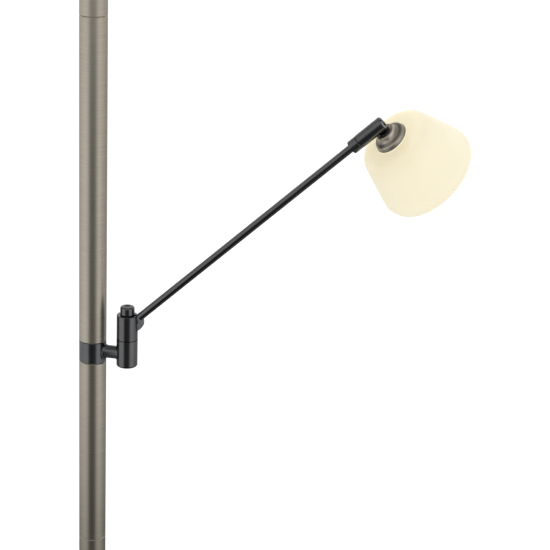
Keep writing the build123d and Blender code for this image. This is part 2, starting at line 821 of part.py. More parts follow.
# ---------------------------------------------------------------------------------------------
# Head barrel at the arm's end
# ---------------------------------------------------------------------------------------------

head_spindle_end = head_barrel_start + head_spindle_depth
head_slot_length = head_barrel_end - head_slot_floor

with BuildPart() as head_spindle:
    with BuildSketch(arm_axis.offset(head_spindle_start)):
        Circle(head_spindle_cap_radius)
    extrude(amount=head_spindle_cap)
    with BuildSketch(arm_axis.offset(head_spindle_start)):
        Circle(head_spindle_radius)
    extrude(amount=head_spindle_end - head_spindle_start)
    with BuildSketch(arm_axis.offset(head_spindle_start)):
        Circle(head_spindle_bore_radius)
    extrude(amount=head_spindle_end - head_spindle_start, mode=Mode.SUBTRACT)

with BuildPart() as head_spin_washer:
    with BuildSketch(arm_axis.offset(head_washer_start)):
        Circle(head_spindle_cap_radius)
        Circle(head_spindle_radius + fit_gap, mode=Mode.SUBTRACT)
    extrude(amount=head_washer_thickness)

with BuildPart() as head_barrel:
    with BuildSketch(section(arm_axis)):
        with BuildLine():
            Polyline(
                (0, head_barrel_start),
                (head_barrel_radius, head_barrel_start),
                (head_barrel_radius, head_barrel_end),
                (0, head_barrel_end),
                close=True,
            )
        make_face()
        chamfer(corner_at(head_barrel_radius, head_barrel_start), length=edge_break)
        chamfer(corner_at(head_barrel_radius, head_barrel_end), length=head_nose_chamfer)
    revolve(axis=axis_of(arm_axis))
    with BuildSketch(arm_axis.offset(head_barrel_start)):
        Circle(head_spindle_radius + fit_gap)
    extrude(amount=head_spindle_depth + fit_gap, mode=Mode.SUBTRACT)
    with BuildSketch(arm_axis.offset(head_barrel_start)):
        Circle(wire_radius)
    extrude(amount=head_barrel_length, mode=Mode.SUBTRACT)
    with BuildSketch(head_pin):
        with Locations((head_slot_floor - arm_length, -head_slot_back)):
            Rectangle(head_slot_length, 2 * head_barrel_radius, align=(Align.MIN, Align.MIN))
    extrude(amount=slot_width / 2, both=True, mode=Mode.SUBTRACT)
    with BuildSketch(head_pin):
        Rectangle(2 * head_fork_round, 2 * head_fork_round, align=(Align.MIN, Align.MIN))
        Circle(head_fork_round, mode=Mode.SUBTRACT)
    extrude(amount=head_barrel_radius, both=True, mode=Mode.SUBTRACT)
    with BuildSketch(head_pin.offset(-pivot_shank_reach - fit_gap)):
        Circle(pivot_shank_radius + fit_gap)
    extrude(amount=pivot_shank_reach + pivot_head_start, mode=Mode.SUBTRACT)
    with BuildSketch(head_pin.offset(pivot_head_start - fit_gap)):
        Circle(pivot_head_radius + fit_gap)
    extrude(amount=head_barrel_radius, mode=Mode.SUBTRACT)

with BuildPart() as head_pivot_screw:
    with BuildSketch(head_pin.offset(-pivot_shank_reach)):
        Circle(pivot_shank_radius)
    extrude(amount=pivot_shank_reach + pivot_head_start)
    with BuildSketch(head_pin.offset(pivot_head_start)):
        Circle(pivot_head_radius)
    extrude(amount=pivot_head_thickness)
    with BuildSketch(head_pin.offset(pivot_head_start + pivot_head_thickness - screw_slot_depth)):
        Rectangle(2 * pivot_head_radius, screw_slot_width)
    extrude(amount=screw_slot_depth, mode=Mode.SUBTRACT)

with BuildPart() as head_friction_washers:
    with BuildSketch(head_pin.offset(washer_start)):
        Circle(friction_washer_radius)
        Circle(pivot_shank_radius + fit_gap, mode=Mode.SUBTRACT)
    extrude(amount=friction_washer_thickness)
    with BuildSketch(head_pin.offset(-washer_start)):
        Circle(friction_washer_radius)
        Circle(pivot_shank_radius + fit_gap, mode=Mode.SUBTRACT)
    extrude(amount=-friction_washer_thickness)

# ---------------------------------------------------------------------------------------------
# Head: stem, cap, lamp and shade
# ---------------------------------------------------------------------------------------------

stem_wire_exit = Plane(
    origin=head_pivot + shade_direction * wire_elbow,
    x_dir=head_pin_direction,
    z_dir=head_pin_direction.cross(shade_direction),
)

with BuildPart() as head_stem:
    with BuildSketch(stem_side):
        Circle(hub_radius)
        Rectangle(stem_collar_start, stem_tongue_width, align=(Align.MIN, Align.CENTER))
        Circle(pivot_shank_radius + running_gap, mode=Mode.SUBTRACT)
    extrude(amount=tongue_thickness / 2, both=True)
    with BuildSketch(head_axis.offset(stem_collar_start)):
        Circle(stem_collar_radius)
    extrude(amount=cap_start - fit_gap - stem_collar_start)
    with BuildSketch(head_axis.offset(stem_collar_start)):
        Circle(tie_radius)
    extrude(amount=stem_end - stem_collar_start)
    with BuildSketch(head_axis.offset(cap_start)):
        Circle(tie_bore_radius)
    extrude(amount=stem_end - cap_start, mode=Mode.SUBTRACT)
    with BuildSketch(head_axis.offset(wire_elbow)):
        Circle(wire_radius)
    extrude(amount=cap_start - wire_elbow, mode=Mode.SUBTRACT)
    with BuildSketch(stem_wire_exit):
        Circle(wire_radius)
    extrude(amount=hub_radius, mode=Mode.SUBTRACT)

cap_neck_end = cap_start + cap_neck_length

with BuildPart() as shade_cap:
    with BuildSketch(section(head_axis)):
        with BuildLine():
            Polyline(
                (tie_hole_radius, cap_start + cap_roof),
                (tie_hole_radius, cap_start),
                (cap_neck_radius - cap_neck_bevel, cap_start),
                (cap_neck_radius, cap_start + cap_neck_bevel),
                (cap_neck_radius, cap_neck_end),
            )
            SagittaArc(
                (cap_neck_radius, cap_neck_end), (cap_waist_radius, cap_waist), -cap_flare_hollow
            )
            Polyline(
                (cap_waist_radius, cap_waist),
                (cap_waist_radius + cap_step, cap_waist),
                (cap_shoulder_radius, cap_shoulder),
                (cap_radius, cap_end),
                (cap_recess_radius, cap_end),
                (cap_recess_radius, cap_recess_floor),
                (cap_cavity_radius, cap_recess_floor),
                (cap_cavity_radius, cap_start + cap_roof),
                (tie_hole_radius, cap_start + cap_roof),
            )
        make_face()
        fillet(corner_at(cap_shoulder_radius, cap_shoulder), radius=cap_shoulder_round)
    revolve(axis=axis_of(head_axis))

with BuildPart() as stem_nut:
    with BuildSketch(head_axis.offset(stem_nut_start)):
        RegularPolygon(radius=stem_nut_flats / 2, side_count=6, major_radius=False)
        Circle(tie_hole_radius, mode=Mode.SUBTRACT)
    extrude(amount=stem_nut_height)

holder_flange_end = holder_flange_start + holder_flange_thickness

with BuildPart() as reading_lampholder:
    with BuildSketch(head_axis.offset(holder_start)):
        Circle(holder_neck_radius)
    extrude(amount=holder_flange_start - holder_start)
    with BuildSketch(head_axis.offset(holder_flange_start)):
        Circle(holder_flange_radius)
    extrude(amount=holder_flange_thickness)
    with BuildSketch(head_axis.offset(holder_flange_end)):
        Circle(holder_radius)
    extrude(amount=holder_end - holder_flange_end)
    with BuildSketch(head_axis.offset(holder_start)):
        Circle(tie_hole_radius)
    extrude(amount=holder_entry_depth, mode=Mode.SUBTRACT)
    with BuildSketch(head_axis.offset(holder_end - holder_socket_depth)):
        Circle(holder_socket_radius)
    extrude(amount=holder_socket_depth, mode=Mode.SUBTRACT)

capsule_bottom = holder_end - holder_socket_depth + capsule_base_room
capsule_start = holder_end + capsule_gap

with BuildPart() as reading_bulb:
    with BuildSketch(section(head_axis)):
        with BuildLine():
            Polyline(
                (0, capsule_bottom),
                (holder_socket_radius - fit_gap, capsule_bottom),
                (holder_socket_radius - fit_gap, capsule_start),
                (capsule_radius, capsule_start),
                (capsule_radius, capsule_start + capsule_length),
                (0, capsule_start + capsule_length),
                close=True,
            )
        make_face()
        fillet(corner_at(capsule_radius, capsule_start + capsule_length), radius=capsule_round)
    revolve(axis=axis_of(head_axis))

with BuildPart() as shade_gasket:
    with BuildSketch(head_axis.offset(cap_end)):
        Circle(gasket_radius)
        Circle(gasket_radius - gasket_width, mode=Mode.SUBTRACT)
    extrude(amount=gasket_thickness)

shade_shoulder_point = (shade_shoulder_radius, gasket_thickness)
shade_flare_point = (shade_flare_radius, shade_flare_length)

with BuildPart() as reading_shade:
    with BuildSketch(section(shade_axis)):
        with BuildLine():
            Line((shade_hole_radius, gasket_thickness), shade_shoulder_point)
            SagittaArc(shade_shoulder_point, shade_flare_point, shade_bow)
            Line(shade_flare_point, (shade_mouth_radius, shade_length))
            fillet(corner_at(*shade_shoulder_point), radius=shade_shoulder_round)
            fillet(corner_at(*shade_flare_point), radius=shade_rim_round)
            offset(amount=shade_wall, side=Side.LEFT)
        make_face()
        lip_corners = vertices().sort_by(Axis.Y)[-2:]
        fillet(lip_corners, radius=glass_lip_round)
    revolve(axis=axis_of(shade_axis))

with BuildPart() as shade_ring:
    with BuildSketch(shade_axis.offset(gasket_thickness + shade_wall + fit_gap)):
        Circle(shade_ring_radius)
        Circle(holder_radius + fit_gap, mode=Mode.SUBTRACT)
    extrude(amount=shade_ring_thickness)

# ---------------------------------------------------------------------------------------------
# Uplighter
# ---------------------------------------------------------------------------------------------

top_tie_start = -top_plug_height - tie_stand_out

with BuildPart() as uplight_tie:
    with BuildSketch(uplight_axis.offset(top_tie_start)):
        Circle(tie_radius)
        Circle(tie_bore_radius, mode=Mode.SUBTRACT)
    extrude(amount=uplight_tie_top - top_tie_start)

with BuildPart() as uplight_cup:
    with BuildSketch(section(uplight_axis)):
        with BuildLine():
            Polyline(
                (tie_hole_radius, fit_gap),
                (cup_neck_radius - cup_neck_bevel, fit_gap),
                (cup_neck_radius, fit_gap + cup_neck_bevel),
                (cup_neck_radius, cup_neck_length),
                (cup_waist_radius, cup_waist),
                (cup_waist_radius + cup_step, cup_waist),
                (cup_shoulder_radius, cup_shoulder),
                (cup_radius, cup_height),
                (cup_recess_radius, cup_height),
                (cup_recess_radius, cup_recess_floor),
                (cup_well_radius, cup_recess_floor),
                (cup_well_radius, cup_well_floor),
                (cup_cavity_radius, cup_well_floor),
                (cup_cavity_radius, cup_floor),
                (tie_hole_radius, cup_floor),
                close=True,
            )
        make_face()
        fillet(corner_at(cup_shoulder_radius, cup_shoulder), radius=cup_shoulder_round)
    revolve(axis=axis_of(uplight_axis))

with BuildPart() as uplight_nut:
    with BuildSketch(uplight_axis.offset(cup_nut_bottom)):
        RegularPolygon(radius=nut_flats / 2, side_count=6, major_radius=False)
        Circle(tie_hole_radius, mode=Mode.SUBTRACT)
    extrude(amount=nut_height)

with BuildPart() as uplight_lampholder:
    with BuildSketch(uplight_axis.offset(uplight_holder_bottom)):
        Circle(uplight_holder_radius)
    extrude(amount=uplight_holder_length)
    with BuildSketch(uplight_axis.offset(cup_recess_floor + fit_gap)):
        Circle(uplight_flange_radius)
    extrude(amount=uplight_flange_thickness)
    with BuildSketch(uplight_axis.offset(uplight_holder_bottom)):
        Circle(tie_hole_radius)
    extrude(amount=uplight_entry_depth, mode=Mode.SUBTRACT)
    with BuildSketch(uplight_axis.offset(uplight_holder_top - uplight_thread_depth)):
        Circle(uplight_thread_radius)
    extrude(amount=uplight_thread_depth, mode=Mode.SUBTRACT)

globe_base = uplight_holder_top - uplight_thread_depth + uplight_base_room
globe_start = uplight_holder_top + globe_gap
globe_top = globe_start + globe_height
globe_middle = globe_top - globe_radius

with BuildPart() as uplight_bulb:
    with BuildSketch(section(uplight_axis)):
        with BuildLine():
            Polyline(
                (0, globe_top),
                (0, globe_base),
                (uplight_thread_radius - fit_gap, globe_base),
                (uplight_thread_radius - fit_gap, globe_start),
                (globe_neck_radius, globe_start),
                (globe_radius, globe_middle),
            )
            CenterArc((0, globe_middle), globe_radius, 0, 90)
        make_face()
    revolve(axis=axis_of(uplight_axis))

with BuildPart() as bowl_gasket:
    with BuildSketch(uplight_axis.offset(cup_height)):
        Circle(cup_radius + cup_gasket_lip)
        Circle(cup_radius + cup_gasket_lip - cup_gasket_width, mode=Mode.SUBTRACT)
    extrude(amount=cup_gasket_thickness)

bowl_corner = (bowl_flat_radius, bowl_bottom)
bowl_edge = (bowl_radius, bowl_bottom + bowl_height)

with BuildPart() as uplight_bowl:
    with BuildSketch(section(uplight_axis)):
        with BuildLine():
            Line((bowl_hole_radius, bowl_bottom), bowl_corner)
            SagittaArc(bowl_corner, bowl_edge, -bowl_swell)
            fillet(corner_at(*bowl_corner), radius=bowl_flat_round)
            offset(amount=bowl_wall, side=Side.LEFT)
        make_face()
        bowl_lip_corners = vertices().sort_by(Axis.Y)[-2:]
        fillet(bowl_lip_corners, radius=glass_lip_round)
    revolve(axis=axis_of(uplight_axis))

with BuildPart() as bowl_ring:
    with BuildSketch(uplight_axis.offset(bowl_bottom + bowl_wall + fit_gap)):
        Circle(bowl_ring_radius)
        Circle(uplight_holder_radius + fit_gap, mode=Mode.SUBTRACT)
    extrude(amount=bowl_ring_thickness)

# ---------------------------------------------------------------------------------------------
# Export
# ---------------------------------------------------------------------------------------------

os.makedirs("parts", exist_ok=True)

foot_pad.part.label = "foot_pad"
export_step(foot_pad.part, "parts/foot_pad.step")
foot_weight.part.label = "foot_weight"
export_step(foot_weight.part, "parts/foot_weight.step")
foot_cover.part.label = "foot_cover"
export_step(foot_cover.part, "parts/foot_cover.step")
cable_grommet.part.label = "cable_grommet"
export_step(cable_grommet.part, "parts/cable_grommet.step")
foot_plug.part.label = "foot_plug"
export_step(foot_plug.part, "parts/foot_plug.step")
foot_tie.part.label = "foot_tie"
export_step(foot_tie.part, "parts/foot_tie.step")
foot_nut.part.label = "foot_nut"
export_step(foot_nut.part, "parts/foot_nut.step")
foot_washer.part.label = "foot_washer"
export_step(foot_washer.part, "parts/foot_washer.step")
foot_ring.part.label = "foot_ring"
export_step(foot_ring.part, "parts/foot_ring.step")
lower_tube.part.label = "lower_tube"
export_step(lower_tube.part, "parts/lower_tube.step")
middle_tube.part.label = "middle_tube"
export_step(middle_tube.part, "parts/middle_tube.step")
bracket_lower_tube.part.label = "bracket_lower_tube"
export_step(bracket_lower_tube.part, "parts/bracket_lower_tube.step")
bracket_upper_tube.part.label = "bracket_upper_tube"
export_step(bracket_upper_tube.part, "parts/bracket_upper_tube.step")
top_tube.part.label = "top_tube"
export_step(top_tube.part, "parts/top_tube.step")
tube_couplers.part.label = "tube_couplers"
export_step(tube_couplers.part, "parts/tube_couplers.step")
top_plug.part.label = "top_plug"
export_step(top_plug.part, "parts/top_plug.step")
pole_bracket.part.label = "pole_bracket"
export_step(pole_bracket.part, "parts/pole_bracket.step")
barrel_plug.part.label = "barrel_plug"
export_step(barrel_plug.part, "parts/barrel_plug.step")
swivel_bush.part.label = "swivel_bush"
export_step(swivel_bush.part, "parts/swivel_bush.step")
upper_barrel.part.label = "upper_barrel"
export_step(upper_barrel.part, "parts/upper_barrel.step")
swivel_spindle.part.label = "swivel_spindle"
export_step(swivel_spindle.part, "parts/swivel_spindle.step")
swivel_washer.part.label = "swivel_washer"
export_step(swivel_washer.part, "parts/swivel_washer.step")
swivel_spring.part.label = "swivel_spring"
export_step(swivel_spring.part, "parts/swivel_spring.step")
swivel_nut.part.label = "swivel_nut"
export_step(swivel_nut.part, "parts/swivel_nut.step")
dimmer_module.part.label = "dimmer_module"
export_step(dimmer_module.part, "parts/dimmer_module.step")
arm_pivot_screw.part.label = "arm_pivot_screw"
export_step(arm_pivot_screw.part, "parts/arm_pivot_screw.step")
arm_friction_washers.part.label = "arm_friction_washers"
export_step(arm_friction_washers.part, "parts/arm_friction_washers.step")
dimmer_shaft.part.label = "dimmer_shaft"
export_step(dimmer_shaft.part, "parts/dimmer_shaft.step")
dimmer_knob.part.label = "dimmer_knob"
export_step(dimmer_knob.part, "parts/dimmer_knob.step")
arm_knuckle.part.label = "arm_knuckle"
export_step(arm_knuckle.part, "parts/arm_knuckle.step")
arm_rod.part.label = "arm_rod"
export_step(arm_rod.part, "parts/arm_rod.step")
rod_ferrule.part.label = "rod_ferrule"
export_step(rod_ferrule.part, "parts/rod_ferrule.step")
head_spindle.part.label = "head_spindle"
export_step(head_spindle.part, "parts/head_spindle.step")
head_spin_washer.part.label = "head_spin_washer"
export_step(head_spin_washer.part, "parts/head_spin_washer.step")
head_barrel.part.label = "head_barrel"
export_step(head_barrel.part, "parts/head_barrel.step")
head_pivot_screw.part.label = "head_pivot_screw"
export_step(head_pivot_screw.part, "parts/head_pivot_screw.step")
head_friction_washers.part.label = "head_friction_washers"
export_step(head_friction_washers.part, "parts/head_friction_washers.step")
head_stem.part.label = "head_stem"
export_step(head_stem.part, "parts/head_stem.step")
shade_cap.part.label = "shade_cap"
export_step(shade_cap.part, "parts/shade_cap.step")
stem_nut.part.label = "stem_nut"
export_step(stem_nut.part, "parts/stem_nut.step")
reading_lampholder.part.label = "reading_lampholder"
export_step(reading_lampholder.part, "parts/reading_lampholder.step")
reading_bulb.part.label = "reading_bulb"
export_step(reading_bulb.part, "parts/reading_bulb.step")
shade_gasket.part.label = "shade_gasket"
export_step(shade_gasket.part, "parts/shade_gasket.step")
reading_shade.part.label = "reading_shade"
export_step(reading_shade.part, "parts/reading_shade.step")
shade_ring.part.label = "shade_ring"
export_step(shade_ring.part, "parts/shade_ring.step")
uplight_tie.part.label = "uplight_tie"
export_step(uplight_tie.part, "parts/uplight_tie.step")
uplight_cup.part.label = "uplight_cup"
export_step(uplight_cup.part, "parts/uplight_cup.step")
uplight_nut.part.label = "uplight_nut"
export_step(uplight_nut.part, "parts/uplight_nut.step")
uplight_lampholder.part.label = "uplight_lampholder"
export_step(uplight_lampholder.part, "parts/uplight_lampholder.step")
uplight_bulb.part.label = "uplight_bulb"
export_step(uplight_bulb.part, "parts/uplight_bulb.step")
bowl_gasket.part.label = "bowl_gasket"
export_step(bowl_gasket.part, "parts/bowl_gasket.step")
uplight_bowl.part.label = "uplight_bowl"
export_step(uplight_bowl.part, "parts/uplight_bowl.step")
bowl_ring.part.label = "bowl_ring"
export_step(bowl_ring.part, "parts/bowl_ring.step")
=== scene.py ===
"""A floor lamp with a glass uplighter bowl and a reading light on a jointed arm, in a studio.

Sizes are in millimetres in the lamp's own frame: +Z up, the origin on the floor under the pole,
and +X from the pole towards the reading light's bracket. Meshes are written in metres.
"""

import logging
import math
from dataclasses import dataclass
from enum import Enum
from typing import Sequence

import bmesh
import bpy
import numpy as np
from mathutils import Matrix, Vector


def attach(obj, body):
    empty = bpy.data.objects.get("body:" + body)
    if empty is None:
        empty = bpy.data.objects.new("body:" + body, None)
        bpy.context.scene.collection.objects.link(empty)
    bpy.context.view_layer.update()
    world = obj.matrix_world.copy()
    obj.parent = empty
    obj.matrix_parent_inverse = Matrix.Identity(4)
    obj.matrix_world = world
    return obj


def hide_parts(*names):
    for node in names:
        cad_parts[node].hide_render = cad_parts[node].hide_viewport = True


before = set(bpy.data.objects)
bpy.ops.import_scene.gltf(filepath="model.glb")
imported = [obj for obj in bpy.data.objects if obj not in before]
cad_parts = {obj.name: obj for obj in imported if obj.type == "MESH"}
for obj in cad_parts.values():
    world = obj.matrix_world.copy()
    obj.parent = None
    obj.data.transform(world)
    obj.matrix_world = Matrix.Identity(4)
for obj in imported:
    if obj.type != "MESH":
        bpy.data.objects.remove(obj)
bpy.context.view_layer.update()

LOG = logging.getLogger("floor_lamp")
MM = 0.001

MERGE_GAP = 2e-6  # metres under which a copied solid's corners are one
FLAT_TURN = math.radians(0.3)  # turn under which two of its faces are one
SHARP_TURN = math.radians(32.0)  # turn over which one of its edges is hard
CLOSE_FIT = 0.05  # millimetres between two pieces that fit closely

NOISE_LOW, NOISE_HIGH = 0.3, 0.7  # nearly all of a noise lies between these
NOISE_ROUGHNESS = 0.55
ROUGHNESS_SPAN = 0.03
GLASS_IOR = 1.5
WHITE = (1.0, 1.0, 1.0, 1.0)

Colour = tuple[float, float, float]
Stops = Sequence[tuple[float, float]]


class Body(Enum):
    """The lamp's rigid bodies, by the names that its joints use."""

    STAND = "stand"
    SWIVEL = "swivel"
    KNOB = "knob"
    ARM = "arm"
    ARM_END = "arm_end"
    HEAD = "reading_head"


class Grain(Enum):
    """How the fine marks of a finish lie."""

    ROUND = "round the piece, as a lathe or a belt leaves them"
    EVEN = "without a direction, as cast, blasted or moulded"


# ---------------------------------------------------------------------------------------------
# Shapes
# ---------------------------------------------------------------------------------------------


@dataclass(frozen=True)
class Axle:
    """A frame that turned pieces are made round: z is their axis, x is where their angle starts."""

    origin: tuple[float, float, float]
    across: tuple[float, float, float]
    along: tuple[float, float, float]

    def basis(self) -> np.ndarray:
        """Returns the frame's x, y and z directions as the rows of a matrix."""
        z = np.array(self.along) / np.linalg.norm(self.along)
        x = np.array(self.across) - np.dot(self.across, z) * z
        x = x / np.linalg.norm(x)
        return np.array([x, np.cross(z, x), z])

    def shifted(self, length: float) -> "Axle":
        """Returns the same frame moved along its own axis by a length."""
        point = np.array(self.origin) + self.basis()[2] * length
        return Axle(tuple(point), self.across, self.along)


@dataclass(frozen=True)
class Corner:
    """A corner of a turned piece's profile: its radius, its place along the axis, its rounding."""

    radius: float
    length: float
    rounding: float = 0.0


@dataclass(frozen=True)
class Profile:
    """A traced profile: points, the outward normals at them, and whether it closes on itself."""

    points: np.ndarray
    normals: np.ndarray
    closed: bool


def unit_rows(rows: np.ndarray) -> np.ndarray:
    """Returns the rows scaled to unit length."""
    return rows / np.maximum(np.linalg.norm(rows, axis=-1, keepdims=True), 1e-12)


def trace(corners: Sequence[Corner], closed: bool = True, steps: int = 6) -> Profile:
    """Traces a profile through corners, with an exact arc wherever a corner is rounded.

    Each rounded corner is replaced by an arc that touches both of its sides: it starts and ends at
    rounding times the tangent of half the turn away from the corner. The normal is the direction of
    travel turned a quarter to the right, so a profile that runs out along the bottom, up the
    outside and back in along the top has its normals pointing out of the material.

    Args:
        corners: the corners in order.
        closed: whether the last corner joins the first.
        steps: the number of parts of each arc.

    Returns:
        The traced profile.
    """
    spot = np.array([(c.radius, c.length) for c in corners], float)
    before = np.roll(spot, 1, axis=0)
    after = np.roll(spot, -1, axis=0)
    if not closed:
        before[0] = 2 * spot[0] - spot[1]
        after[-1] = 2 * spot[-1] - spot[-2]
    come = unit_rows(spot - before)
    leave = unit_rows(after - spot)
    points: list[np.ndarray] = []
    normals: list[np.ndarray] = []
    for corner, here, a, b in zip(corners, spot, come, leave):
        turn = math.atan2(a[0] * b[1] - a[1] * b[0], float(np.dot(a, b)))
        if corner.rounding <= 0 or abs(turn) < 1e-4:
            mean = unit_rows(a + b)
            points.append(here[None])
            normals.append(np.array([[mean[1], -mean[0]]]))
            continue
        reach = corner.rounding * math.tan(abs(turn) / 2)
        side = math.copysign(1.0, turn)
        first = here - a * reach
        centre = first + side * corner.rounding * np.array([-a[1], a[0]])
        angles = np.linspace(0.0, turn, steps + 1)
        arm = first - centre
        c, s = np.cos(angles), np.sin(angles)
        points.append(centre + np.stack([c * arm[0] - s * arm[1], s * arm[0] + c * arm[1]], -1))
        right = np.array([a[1], -a[0]])
        normals.append(np.stack([c * right[0] - s * right[1], s * right[0] + c * right[1]], -1))
    return Profile(np.concatenate(points), unit_rows(np.concatenate(normals)), closed)


def bowed(start: Corner, end: Corner, bow: float, parts: int = 6) -> list[Corner]:
    """Returns rounded corners between two others, on a line that bends away from straight.

    A corner's place is the straight line's, moved square to it by 4 bow t (1 - t), where t runs
    from 0 to 1. A positive bow lies on the right of the way from start to end, which is outwards.

    Args:
        start: the corner before the bend.
        end: the corner after it.
        bow: how far the bend's middle stands off the straight line.
        parts: the number of pieces that the bend is split into.

    Returns:
        The corners between the two.
    """
    first = np.array([start.radius, start.length])
    way = np.array([end.radius, end.length]) - first
    reach = float(np.linalg.norm(way))
    right = np.array([way[1], -way[0]]) / reach
    share = np.linspace(0.0, 1.0, parts + 1)[1:-1, None]
    spots = first + way * share + right * (4 * bow * share * (1 - share))
    rounding = 0.9 * reach**2 / (8 * abs(bow))
    return [Corner(radius, length, rounding) for radius, length in spots.tolist()]


def smooth_run(points: np.ndarray) -> Profile:
    """Returns an open profile through dense points of a curve, with normals from its own slope."""
    return Profile(points, right_of(points), False)


def right_of(points: np.ndarray) -> np.ndarray:
    """Returns the unit normals to the right of a line of points.

    A normal is the slope there, the central difference of the point's neighbours, turned a quarter
    to the right.

    Args:
        points: the line's points, one row each.

    Returns:
        A normal for each point.
    """
    slope = unit_rows(np.gradient(points, axis=0))
    return np.stack([slope[:, 1], -slope[:, 0]], -1)


def new_mesh_object(
    name: str,
    vertices: np.ndarray,
    quads: np.ndarray,
    normals: np.ndarray | None = None,
    uv: np.ndarray | None = None,
    triangles: np.ndarray | None = None,
    triangle_uv: np.ndarray | None = None,
) -> bpy.types.Object:
    """Makes an object from arrays: quads first, then triangles.

    Args:
        name: the object's name.
        vertices: their places in millimetres, one row each.
        quads: four vertex numbers a row.
        normals: a unit normal for each vertex, or None for Blender's own.
        uv: a texture place for each quad's corner, four a row.
        triangles: three vertex numbers a row, or None.
        triangle_uv: a texture place for each triangle's corner, three a row.

    Returns:
        The new object, linked to the scene.
    """
    mesh = bpy.data.meshes.new(name)
    tri = np.zeros((0, 3), int) if triangles is None else triangles
    loops = np.concatenate([quads.ravel(), tri.ravel()]).astype(np.int32)
    sizes = np.concatenate([np.full(len(quads), 4), np.full(len(tri), 3)]).astype(np.int32)
    starts = np.concatenate([[0], np.cumsum(sizes)[:-1]]).astype(np.int32)
    mesh.vertices.add(len(vertices))
    mesh.vertices.foreach_set("co", (vertices * MM).astype(np.float32).ravel())
    mesh.loops.add(len(loops))
    mesh.loops.foreach_set("vertex_index", loops)
    mesh.polygons.add(len(sizes))
    mesh.polygons.foreach_set("loop_start", starts)
    mesh.polygons.foreach_set("loop_total", sizes)
    mesh.polygons.foreach_set("use_smooth", np.ones(len(sizes), bool))
    if uv is not None:
        layer = mesh.uv_layers.new(name="wrap")
        flat = [uv.reshape(-1, 2)]
        if triangle_uv is not None:
            flat.append(triangle_uv.reshape(-1, 2))
        layer.data.foreach_set("uv", np.concatenate(flat).astype(np.float32).ravel())
    mesh.update(calc_edges=True)
    mesh.validate()
    if normals is not None:
        mesh.normals_split_custom_set_from_vertices(normals.astype(np.float32).tolist())
    obj = bpy.data.objects.new(name, mesh)
    bpy.context.scene.collection.objects.link(obj)
    return obj


def turned(name: str, profile: Profile, axle: Axle, turns: int = 96) -> bpy.types.Object:
    """Turns a profile round an axle.

    The surface is origin + r(s)·(cos t·x + sin t·y) + l(s)·z, where s runs along the profile and t
    round the axle. A profile end that lies on the axis closes with a fan of triangles. The texture
    place of a point is its angle times the widest radius, and its run along the profile from the
    first point off the axis, in metres.

    Args:
        name: the object's name.
        profile: the profile, with its radius and length.
        axle: the frame that it is turned in.
        turns: the number of steps round.

    Returns:
        The new object.
    """
    basis, origin = axle.basis(), np.array(axle.origin)
    pts, nrm = profile.points, profile.normals
    start_pole = not profile.closed and pts[0, 0] < 1e-6
    end_pole = not profile.closed and pts[-1, 0] < 1e-6
    ring_pts = pts[int(start_pole) : len(pts) - int(end_pole)]
    ring_nrm = nrm[int(start_pole) : len(pts) - int(end_pole)]
    angle = np.arange(turns) * (2 * math.pi / turns)
    spoke = np.cos(angle)[:, None] * basis[0] + np.sin(angle)[:, None] * basis[1]
    grid = ring_pts[:, None, :1] * spoke[None] + ring_pts[:, None, 1:] * basis[2] + origin
    way = ring_nrm[:, None, :1] * spoke[None] + ring_nrm[:, None, 1:] * basis[2]
    rows = len(ring_pts)
    number = np.arange(rows * turns).reshape(rows, turns)
    vertices = [grid.reshape(-1, 3)]
    normals = [way.reshape(-1, 3)]
    low = number if profile.closed else number[:-1]
    high = np.roll(number, -1, axis=0) if profile.closed else number[1:]
    quads = np.stack([low, np.roll(low, -1, 1), np.roll(high, -1, 1), high], -1).reshape(-1, 4)
    step = np.linalg.norm(np.diff(ring_pts, axis=0, append=ring_pts[:1]), axis=1)
    run = np.concatenate([[0.0], np.cumsum(step)]) * MM
    wide = float(pts[:, 0].max()) * MM
    u0 = np.arange(turns) * (2 * math.pi / turns) * wide
    u1 = u0 + 2 * math.pi / turns * wide
    count = len(low)
    v0 = np.repeat(run[:count], turns)
    v1 = np.repeat(run[1 : count + 1], turns)
    ua, ub = np.tile(u0, count), np.tile(u1, count)
    uv = np.stack([ua, v0, ub, v0, ub, v1, ua, v1], -1).reshape(-1, 4, 2)
    fans: list[np.ndarray] = []
    fan_uv: list[np.ndarray] = []
    total = rows * turns
    for pole, row, spot, way_out, flip, v in (
        (start_pole, number[0], pts[0], nrm[0], True, run[0]),
        (end_pole, number[-1], pts[-1], nrm[-1], False, run[rows - 1]),
    ):
        if not pole:
            continue
        vertices.append((spot[1] * basis[2] + origin)[None])
        normals.append((math.copysign(1.0, way_out[1]) * basis[2])[None])
        centre = np.full(turns, total)
        total += 1
        around = np.roll(row, -1)
        fan = np.stack([centre, around, row] if flip else [row, around, centre], -1)
        fans.append(fan)
        shift = float(ring_pts[0 if flip else -1, 0]) * MM * (-1 if flip else 1)
        mid = np.stack([(u0 + u1) / 2, np.full(turns, v + shift)], -1)
        a = np.stack([u0, np.full(turns, v)], -1)
        b = np.stack([u1, np.full(turns, v)], -1)
        fan_uv.append(np.stack([mid, b, a] if flip else [a, b, mid], 1))
    return new_mesh_object(
        name,
        np.concatenate(vertices),
        quads,
        np.concatenate(normals),
        uv,
        np.concatenate(fans) if fans else None,
        np.concatenate(fan_uv) if fan_uv else None,
    )


